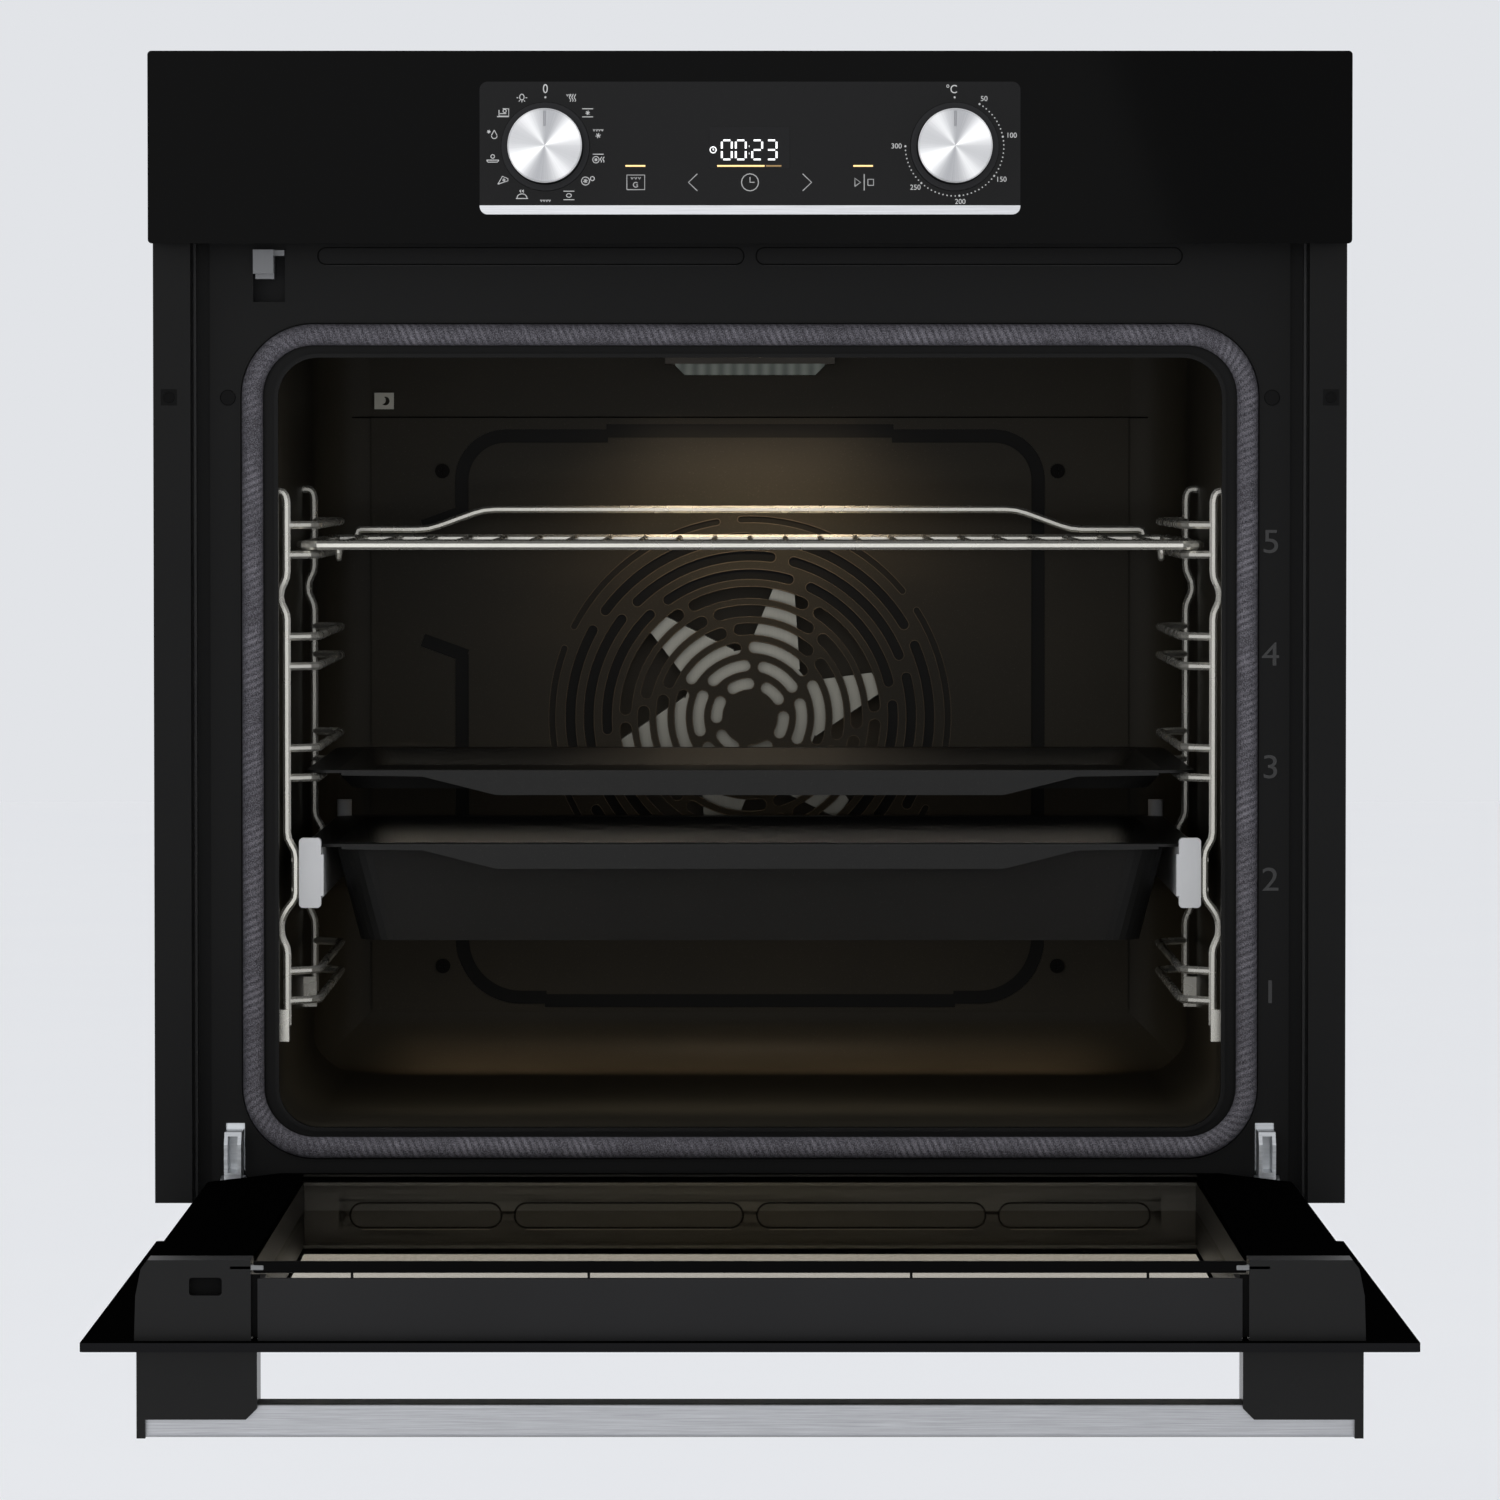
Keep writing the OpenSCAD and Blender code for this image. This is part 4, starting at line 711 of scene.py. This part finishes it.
# The signs of the oven's functions, clockwise from the one beside the 0
FUNCTION_SIGNS = [
    grill(1.2, 2, 1.3) + [steam(x, -1.9, 1.9) for x in (0.6, 1.8, 3.0)],
    [bar(2.0), bar(-2.0), *spokes(1.1)],
    grill(2.1) + spokes(1.3, 0, -0.5),
    [bar(2.2), ring(1.6, -1.1, -0.5), *spokes(0.8, -1.1, -0.5), steam(1.4, -1.8, 1.0),
     steam(2.6, -1.8, 1.0)],
    [ring(2.0, -1.1, -0.3), *spokes(1.1, -1.1, -0.3), ring(1.0, 2.3, 0.9)],
    [bar(2.1), bar(-2.1), oval(0, 0, 1.2, 0.9)],
    grill(0.0),
    [oval(0, -1.2, 2.4, 2.0, 0, 180), bar(-1.5, 3.0), steam(-0.8, 1.5, 2.8), steam(0.5, 1.5, 2.8)],
    [[(-2.6, -1.9), (-0.4, 2.0), (2.3, 0.9), (2.4, -0.2), (-2.6, -1.9)], ring(0.5, 0.4, 0.2)],
    [ring(0.9, 0, 1.1), bar(-0.7, 3.0), bar(-1.7, 2.4), [(-3.0, -0.7), (-2.4, -1.7)],
     [(3.0, -0.7), (2.4, -1.7)]],
    [*spokes(0.9, -1.9, 1.4), [(0.8, 2.2), (-0.6, -0.4)], [(0.8, 2.2), (2.2, -0.4)],
     oval(0.8, -0.6, 1.4, 1.4, 180, 360)],
    [[(-2.0, 1.4), (-2.0, -1.6), (2.8, -1.6), (2.8, 2.0), (-0.2, 2.0)], bar(-0.4, 1.6),
     ring(0.8, 0.8, 0.9), [(-3.0, -1.9), (2.8, -1.9)]],
    [oval(0, 0.3, 1.1, 1.5), [(-0.6, -1.0), (0.6, -1.0)], [(-2.6, 0), (-1.8, 0)], [(1.8, 0), (2.6, 0)],
     [(-1.5, -1.8), (-1.0, -1.3)], [(1.5, -1.8), (1.0, -1.3)], [(0, -2.2), (0, -1.6)]],
]


def function_signs():
    """Thirteen small signs share the ring round the function knob with the 0."""
    lines = []
    for i, sign in enumerate(FUNCTION_SIGNS, start=1):
        angle = math.radians(90 - 360 / (len(FUNCTION_SIGNS) + 1) * i)
        cx, cz = -KNOB_X + SIGN_RING * math.cos(angle), KNOB_Z + SIGN_RING * math.sin(angle)
        lines += [[(cx + x, cz + z) for x, z in line] for line in sign]
    settle(flat_print(lines, PRINT_FRONT, 0.5), "function_signs", "root", "insert", WHITE_PRINT_GLOW)


def touch_signs():
    """The five touch keys: grill, back, clock, forward, start."""
    signs = [
        [[(-4.4, -3.6), (4.4, -3.6), (4.4, 3.6), (-4.4, 3.6), (-4.4, -3.6)], *grill(2.0, 3, 2.7),
         arc(0, -1.2, 1.2, 40, 330, 12), [(0.2, -1.3), (1.1, -1.3)]],
        [[(2.2, 4.2), (-2.2, 0), (2.2, -4.2)]],
        [ring(4.2), [(0, 2.6), (0, 0), (2.2, 0)]],
        [[(-2.2, 4.2), (2.2, 0), (-2.2, -4.2)]],
        [[(-4.6, -2.0), (-1.8, 0), (-4.6, 2.0), (-4.6, -2.0)], [(0, -4.0), (0, 4.0)],
         [(1.8, -1.5), (4.6, -1.5), (4.6, 1.5), (1.8, 1.5), (1.8, -1.5)]],
    ]
    lines = []
    for i, sign in enumerate(signs):
        cx = (i - 2) * KEY_PITCH
        lines += [[(cx + x, KEY_Z + z) for x, z in line] for line in sign]
    settle(flat_print(lines, PRINT_FRONT, 0.55), "touch_signs", "root", "insert", GREY_PRINT_GLOW)


def dots(places, radius):
    """Round printed dots in the front plane."""
    return [disc(x, INSERT_FRONT - 0.02, z, radius, 0.08, 10) for x, z in places]


def dial_numbers():
    """The 0, and the temperatures 50 to 300 with their dotted ring."""
    y = INSERT_FRONT - 0.02
    first, span, spaces = 59.6, 240.0, 50
    made = [words("0", -KNOB_X, KNOB_Z + 28.3, 4.6, y, stretch=0.85),
            words("°C", KNOB_X - 1.5, KNOB_Z + 28.1, 4.2, y, stretch=0.9)]
    for i in range(6):
        angle = math.radians(first - span / 5 * i)
        made.append(words(str(50 * (i + 1)), KNOB_X + (DIAL_RING + 4.4) * math.cos(angle),
                          KNOB_Z + (DIAL_RING + 3.0) * math.sin(angle), 2.6, y))
    settle(join(made), "dial_numbers", "root", "insert", WHITE_PRINT_GLOW)
    places = []
    for i in range(spaces + 1):
        angle = math.radians(first - span / spaces * i)
        places.append((KNOB_X + DIAL_RING * math.cos(angle), KNOB_Z + DIAL_RING * math.sin(angle)))
    main = places[::10] + [(-KNOB_X, KNOB_Z + DIAL_RING), (KNOB_X, KNOB_Z + DIAL_RING)]
    minor = [place for i, place in enumerate(places) if i % 10]
    settle(join(dots(main, 0.52) + dots(minor, 0.36)), "dial_dots", "root", "insert", WHITE_PRINT_GLOW)


SEGMENTS = {"0": "abcdef", "2": "abged", "3": "abgcd"}


def light_bars(name, spans, material, y):
    """Short lit bars at one height under the display."""
    lines = [[(x0, KNOB_Z - 9.5), (x1, KNOB_Z - 9.5)] for x0, x1 in spans]
    settle(flat_print(lines, y, 0.95), name, "root", "insert", material)


def display():
    """A clock display with seven-segment digits, on a slightly paler pane."""
    y = INSERT_FRONT + 0.3
    settle(rounded_box(-20.1, 19.6, y - 0.12, y + 0.08, KNOB_Z - 10.9, KNOB_Z + 9.8, 0.05, 1),
           "display_pane", "root", "panel_glass",
           plastic("display_pane_tint", lin(23, 23, 24), 0.3, 0.02, 0.1))
    w, h = 4.9, 4.7
    low = KNOB_Z - 6.3
    ends = {"a": ((0, 2), (1, 2)), "b": ((1, 2), (1, 1)), "c": ((1, 1), (1, 0)),
            "d": ((0, 0), (1, 0)), "e": ((0, 1), (0, 0)), "f": ((0, 2), (0, 1)),
            "g": ((0, 1), (1, 1))}
    lines = []
    for digit, x0 in (("0", -13.9), ("0", -7.0), ("2", 1.1), ("3", 8.2)):
        for s in SEGMENTS[digit]:
            (ax, az), (bx, bz) = ends[s]
            a, b = (x0 + ax * w, low + az * h), (x0 + bx * w, low + bz * h)
            dx, dz = (b[0] - a[0]) * 0.14, (b[1] - a[1]) * 0.14
            lines.append([(a[0] + dx, a[1] + dz), (b[0] - dx, b[1] - dz)])
    settle(flat_print(lines, y - 0.2, 1.0), "display_digits", "root", "insert", DIGITS)
    colon = [[(-0.5, z), (-0.3, z)] for z in (low + 0.62 * h, low + 1.38 * h)]
    settle(flat_print(colon, y - 0.2, 1.1), "display_colon", "root", "insert", DIGITS)
    clock = [arc(-18.2, low + h, 1.5, 0, 360, 18), [(-18.2, low + h + 0.7), (-18.2, low + h),
                                                   (-17.7, low + h)]]
    settle(flat_print(clock, y - 0.2, 0.55), "display_clock", "root", "insert", DIGITS)
    light_bars("display_bar", [(-16.2, 7.2)], AMBER, y - 0.2)
    light_bars("display_bar_rest", [(7.8, 15.5)], DIM_AMBER, y - 0.2)
    light_bars("key_lights", [(-61.5, -51.7), (51.0, 60.7)], AMBER, PRINT_FRONT)


def round_rib(x, y, z, radius, thick, flat=1.0):
    """A ring that lies in the front plane."""
    clear_choice()
    bpy.ops.mesh.primitive_torus_add(
        location=(x * MM, y * MM, z * MM), rotation=(math.pi / 2, 0, 0),
        major_segments=96, minor_segments=10, major_radius=radius * MM, minor_radius=thick * MM)
    made = bpy.context.object
    made.scale[2] = flat
    bpy.ops.object.shade_smooth()
    return made


def knob_marks():
    """Bright rims round the knobs' faces, their pointer lines darkened as painted shade, and the glossy
    collars behind.
    """
    collar = plastic("collar_gloss", lin(9, 9, 10), 0.12, 0.02, 0.5)
    for name, x in (("function", -KNOB_X), ("temperature", KNOB_X)):
        settle(round_rib(x, KNOB_FACE - 0.1, KNOB_Z, 18.0, 0.24), name + "_knob_rim",
               name + "_knob_body", "knob")
        # Painted shade: a darker strip over the pointer's groove.
        pointer = rounded_box(x - 0.55, x + 0.55, KNOB_FACE - 0.75, KNOB_FACE - 0.4,
                              KNOB_Z + 9.6, KNOB_Z + 17.2, 0.1, 1)
        settle(pointer, name + "_knob_pointer", name + "_knob_body", "knob",
               plastic(name + "_pointer_painted_shade", lin(140, 141, 144), 0.4))
        settle(round_rib(x, INSERT_FRONT - 0.7, KNOB_Z, 19.9, 1.5, 0.55), name + "_knob_collar", "root",
               "insert", collar)


function_signs()
touch_signs()
dial_numbers()
display()
knob_marks()


# ---------- details of the front frame ----------

def level_numbers():
    """The raised shelf numbers 5 to 1 at the right of the mouth."""
    made = []
    for level in range(5):
        made.append(words(str(5 - level), LEVEL_X, LEVEL_TOP - LEVEL_PITCH * level, height=12.2, y=24.8,
                          depth=0.5, stretch=1.12))
    settle(join(made), "level_numbers", "root", "front_enamel",
           satin_enamel("number_enamel", lin(13, 13, 14), lin(17, 17, 18), 0.25, 0.5))


def stadium(x0, x1, z0, z1):
    """The closed outline of a slot with round ends."""
    r = (z1 - z0) / 2
    right = arc(x1 - r, z0 + r, r, 90, -90, 12)
    return right + arc(x0 + r, z0 + r, r, 270, 90, 12) + right[:1]


def embossed_slots():
    """Shadow and light along the edges of the two long embossings under the control panel."""
    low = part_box("panel_glass")[0].z / MM
    frame_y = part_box("front_frame")[0].y / MM + 0.5
    shade, light = [], []
    for side in (-1, 1):
        x0, x1 = sorted((side * 3, side * 216))
        shade.append(stadium(x0, x1, low - 9.4, low - 0.9))
        light.append([(x0 + 4, low - 9.9), (x1 - 4, low - 9.9)])
    settle(flat_print(shade, frame_y, 0.7), "embossing_shadows", "root", "front_enamel",
           flat_paint("embossing_shadow", 6, 6, 6))
    settle(flat_print(light, frame_y, 0.35), "embossing_lights", "root", "front_enamel",
           flat_paint("embossing_light", 46, 46, 46))


def cover_seam():
    """The dark joint above the fan cover."""
    low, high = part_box("fan_cover")
    z = high.z / MM + 0.2
    line = [[(low.x / MM - 14, low.y / MM + 1.2, z), (high.x / MM + 14, low.y / MM + 1.2, z)]]
    settle(strokes(line, 0.9), "cover_seam", "root", "cavity_enamel",
           plastic("seam_shadow", lin(12, 11, 9), 0.7, 0.02, 0.05))


def slot_outline(radius, width, centre, sweep):
    """The edge of one slot of a ring: two arcs joined by round ends."""
    start, stop = centre - sweep / 2, centre + sweep / 2
    ends = [(radius * math.cos(math.radians(a)), FAN_Z + radius * math.sin(math.radians(a)))
            for a in (start, stop)]
    outer = arc(0, FAN_Z, radius + width / 2, start, stop, 14)
    inner = arc(0, FAN_Z, radius - width / 2, stop, start, 14)
    return (outer + arc(*ends[1], width / 2, stop, stop + 180, 6)[1:-1] + inner
            + arc(*ends[0], width / 2, start + 180, start + 360, 6)[1:])


def slot_edge_highlights():
    """Painted highlights along the edges of the ten rings of slots in the fan cover.

    Six rings of wide slots, three of narrower ones and a thin one at the rim, each turned a
    little against the one inside it.
    """
    edge_highlights = []
    for i in range(10):
        width, gap = (6.2, 4.2) if i < 6 else (5.2, 7.6) if i < 9 else (3.2, 10)
        radius = RING_START + RING_PITCH * i
        sweep = 60 - math.degrees((gap + width) / radius)
        turn = RING_TURN + RING_TWIST * i
        edge_highlights += [slot_outline(radius, width + 0.5, turn + 60 * k, sweep) for k in range(6)]
    # Painted highlight: light lines stand in for the light caught by the slots' edges.
    settle(flat_print(edge_highlights, COVER_Y - 0.03, 0.5), "fan_cover_slot_highlights", "root", "cavity_enamel",
           plastic("slot_edge_painted_highlight", lin(74, 65, 53), 0.5, 0.02, 0.3))


def switch_pocket():
    """The dark pocket behind the door switch's window."""
    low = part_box("panel_glass")[0].z / MM
    pad = rounded_box(-254, -228, POCKET_Y, POCKET_Y + 0.6, low - 32, low + 1, 0.2, 1)
    settle(pad, "switch_pocket", "root", "switch_body", plastic("pocket_grey", lin(22, 22, 23), 0.5))


def frame_buffers():
    """Low round buffers at mid height, one on each side."""
    made = []
    for side in (-1, 1):
        made.append(disc(side * 261, 24.7, 0, radius=3.9, depth=1.4, vertices=48))
        soften_edges(0.5, 3)
    settle(join(made), "frame_buffers", "root", "front_enamel",
           plastic("buffer_rubber", lin(14, 14, 14), 0.4, 0.1, 0.05))


def niche_screw_caps():
    """Square washers with a sunk dark screw, in the holes of the side trims."""
    plates, heads = [], []
    for side in (-1, 1):
        x = side * NICHE_SCREW_X
        plates.append(rounded_box(x - 4, x + 4, TRIM_FRONT - 0.15, TRIM_FRONT + 0.1, -4, 4, 0.08, 1))
        heads.append(round_rib(x, TRIM_FRONT - 0.1, 0, 2.4, 0.5, 0.6))
        heads.append(disc(x, TRIM_FRONT - 0.05, 0, radius=2.2, depth=0.4, vertices=24))
    settle(join(plates), "niche_screw_washers", "root", "front_enamel",
           plastic("washer_black", lin(14, 14, 14), 0.4, 0.1, 0.03))
    settle(join(heads), "niche_screw_heads", "root", "screws",
           plastic("screw_black", lin(11, 11, 11), 0.4, 0.05, 0.03))


level_numbers()
embossed_slots()
cover_seam()
slot_edge_highlights()
switch_pocket()
frame_buffers()
niche_screw_caps()


# ---------- door trim ----------

def edge_bar():
    """The dark bar along the free end of the door's inner glass, with its short bright tips."""
    low, high = INNER_Z - 5.8, INNER_Z - 0.5
    settle(rounded_box(-221, 221, DOOR_END + 0.2, DOOR_END + 2.8, low, high, 0.9, 3), "door_edge_bar",
           "door", "column", satin_enamel("edge_bar_coat", lin(2, 2, 2), lin(3, 3, 3), 0.3, 0.03))
    ribs = [rounded_box(x - 0.6, x + 0.6, DOOR_END + 0.6, DOOR_END + 1.8, low - 2.8, low, 0.1, 1)
            for x in (-177, -71.7, 71.7, 177)]
    settle(join(ribs), "door_slit_ribs", "door", "column", flat_paint("rib_black", 6, 6, 6))
    tips = [rounded_box(s * 224 - 8, s * 224 + 8, DOOR_END, DOOR_END + 2.8, low + 1, low + 3.8, 0.8, 3)
            for s in (-1, 1)]
    settle(join(tips), "door_edge_tips", "door", "handle_steel",
           brushed("edge_tip_metal", lin(120, 121, 122), (1, 40, 40), 0.35))


def air_slot_backs():
    """A second sheet close behind the slots of the door's air channel, darker than the channel sheet as
    painted shade, and lines of painted shadow and painted light along their edges."""
    low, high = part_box("door_bottom_profile")
    back = high.y / MM - 1.0
    sheet = rounded_box(-205, 205, back - 0.5, back - 0.1, low.z / MM + 5, high.z / MM - 6, 0.1, 1)
    # Painted shade: the back sheet is the channel sheet darkened to 0.72.
    settle(sheet, "air_slot_backs", "door", "column", air_channel_sheet("air_channel_back_painted_shade", 0.72))
    front = low.y / MM + 13.0
    shade, light = [], []
    for side in (-1, 1):
        for near, far in ((3.5, 117.3), (123.8, 199.2)):
            x0, x1 = sorted((side * near, side * far))
            shade.append(stadium(x0, x1, low.z / MM + 9, low.z / MM + 21.5))
            light.append([(x0 + 6, low.z / MM + 8.2), (x1 - 6, low.z / MM + 8.2)])
    settle(flat_print(shade, front, 1.1), "air_slot_shadows", "door", "column",
           flat_paint("air_slot_shadow", 16, 15, 14))
    settle(flat_print(light, front, 0.6), "air_slot_lights", "door", "column",
           flat_paint("air_slot_light", 112, 110, 104))


def seam_shade_plates():
    """Dark plates behind the seams between the door's caps and its front profile, and in the left cap's
    pocket: painted shade where these gaps lie in shade."""
    plates = [rounded_box(s * 223 - 5, s * 223 + 5, DOOR_END + 2.9, DOOR_END + 3.4,
                          INNER_Z - 34.6, INNER_Z - 6.6, 0.1, 1) for s in (-1, 1)]
    plates.append(rounded_box(-249.2, -235.2, DOOR_END + 5, DOOR_END + 5.5,
                              INNER_Z - 15.5, INNER_Z - 8.1, 0.1, 1))
    # Painted shade: dark plates where the seams and the pocket lie in shade.
    settle(join(plates), "door_seam_shade_plates", "door", "cap", flat_paint("seam_painted_shade", 7, 7, 7))


def glass_lip():
    """A folded lip of light sheet along the hinge side of the inner glass."""
    z = INNER_Z - 1.0
    left = [(-234, -1.5), (-258, -37), (-267, -51)]
    lines = [[(x, y, z) for x, y in left], [(-x, y, z) for x, y in left],
             [(-234, -1.5, z), (234, -1.5, z)]]
    settle(strokes(lines, 1.6), "inner_glass_lip", "door", "column",
           satin_enamel("lip_coat", lin(52, 52, 52), lin(64, 64, 63), 0.3))


edge_bar()
air_slot_backs()
seam_shade_plates()
glass_lip()


# ---------- floor, light and camera ----------

def stage():
    """A plain pale floor."""
    clear_choice()
    bpy.ops.mesh.primitive_plane_add(size=1, location=(0, 4.0, FLOOR_Z))
    floor = bpy.context.object
    floor.name = "floor"
    floor.scale = (16, 20, 1)
    bpy.ops.object.transform_apply(location=True, rotation=True, scale=True)
    p = Paint("pale_floor")
    cloud = p.noise(3, 2)
    floor.data.materials.append(p.finish(Base_Color=p.mix(cloud, lin(243, 244, 247), lin(245, 246, 248)),
                                         Roughness=0.7, Specular_IOR_Level=0.2))


def world():
    """Even light all round, with a pale backdrop for the camera alone."""
    scene = bpy.context.scene
    scene.world = scene.world or bpy.data.worlds.new("studio")
    scene.world.use_nodes = True
    tree = scene.world.node_tree
    tree.nodes.clear()
    out = tree.nodes.new("ShaderNodeOutputWorld")
    path = tree.nodes.new("ShaderNodeLightPath")
    seen = tree.nodes.new("ShaderNodeMath")
    seen.operation = "MAXIMUM"
    tree.links.new(path.outputs["Is Camera Ray"], seen.inputs[0])
    tree.links.new(path.outputs["Is Transmission Ray"], seen.inputs[1])
    light = tree.nodes.new("ShaderNodeBackground")
    light.inputs[0].default_value = (0.97, 0.98, 1.0, 1)
    light.inputs[1].default_value = 0.86
    back = tree.nodes.new("ShaderNodeBackground")
    back.inputs[0].default_value = lin(226, 228, 232)
    mix = tree.nodes.new("ShaderNodeMixShader")
    tree.links.new(seen.outputs[0], mix.inputs[0])
    tree.links.new(light.outputs[0], mix.inputs[1])
    tree.links.new(back.outputs[0], mix.inputs[2])
    tree.links.new(mix.outputs[0], out.inputs[0])


SOFT_WARM = (1.0, 0.93, 0.8)


def softbox(name, place, target, width, height, watts, colour=(1, 1, 1), turn=0.0, spread=180,
            glossy=True):
    """A rectangular lamp: sizes in metres, turn about its aim and spread in degrees."""
    data = bpy.data.lights.new(name, "AREA")
    data.shape = "RECTANGLE"
    data.size, data.size_y, data.energy, data.color = width, height, watts, colour
    data.spread = math.radians(spread)
    lamp = bpy.data.objects.new(name, data)
    lamp.location = place
    aim = (Vector(target) - Vector(place)).to_track_quat("-Z", "Y")
    lamp.rotation_mode = "QUATERNION"
    lamp.rotation_quaternion = aim @ Quaternion((0, 0, 1), math.radians(turn))
    lamp.visible_camera = False
    lamp.visible_glossy = glossy
    bpy.context.scene.collection.objects.link(lamp)


def camera():
    """A long lens from the front, a little above the middle."""
    data = bpy.data.cameras.new("camera")
    data.lens = 201.2
    data.sensor_width = 36.0
    data.clip_end = 60
    eye = bpy.data.objects.new("camera", data)
    eye.location = (0, -4.1695, -0.02845)
    eye.rotation_euler = (math.radians(90 - 2.018), 0, 0)
    bpy.context.scene.collection.objects.link(eye)
    bpy.context.scene.camera = eye


def studio_light():
    """Two soft lamps above, one that gives the panel its sheen, and two weak ones in front."""
    softbox("key", (-2.2, -3.0, 2.4), (0, 0, -0.1), 2.2, 1.6, 22)
    softbox("fill", (2.6, -2.4, 1.2), (0, 0, -0.2), 1.6, 2.0, 8)
    softbox("panel_sheen", (-2.28, -5.0, 0.5), (-2.28, 0, 0.5), 5.0, 3.4, 29, turn=18.7)
    softbox("front_fill", (0, -3.4, 0.15), (0, 0, -0.2), 0.9, 0.6, 12, glossy=False)
    softbox("low_fill", (0, -1.3, -0.7), (0, 0, -0.41), 1.4, 0.3, 3, glossy=False)


def oven_light():
    """The lamp of the oven, and what its enamel sends on into the trays and along the floor."""
    softbox("oven_lamp", (0, 0.368, -0.006), (0, 0.402, -0.07), 0.12, 0.03, 0.1, (1.0, 0.8, 0.56),
            spread=120)
    for name, height, aim, watts in (("upper_tray_glow", -0.183, -0.197, 0.022),
                                     ("lower_tray_glow", -0.213, -0.24, 0.1)):
        softbox(name, (0, 0.062, height), (0, 0.376, aim), 0.4, 0.005, watts, SOFT_WARM,
                spread=4, glossy=False)
    softbox("cove_glow", (0, 0.36, -0.284), (0, 0.405, -0.352), 0.38, 0.008, 0.04, (1.0, 0.78, 0.55),
            spread=40, glossy=False)
    softbox("floor_glow", (0, 0.12, -0.3), (0, 0.3, -0.39), 0.38, 0.01, 0.12, SOFT_WARM, glossy=False)


stage()
world()
studio_light()
oven_light()
camera()
bpy.context.scene.view_settings.view_transform = "Standard"
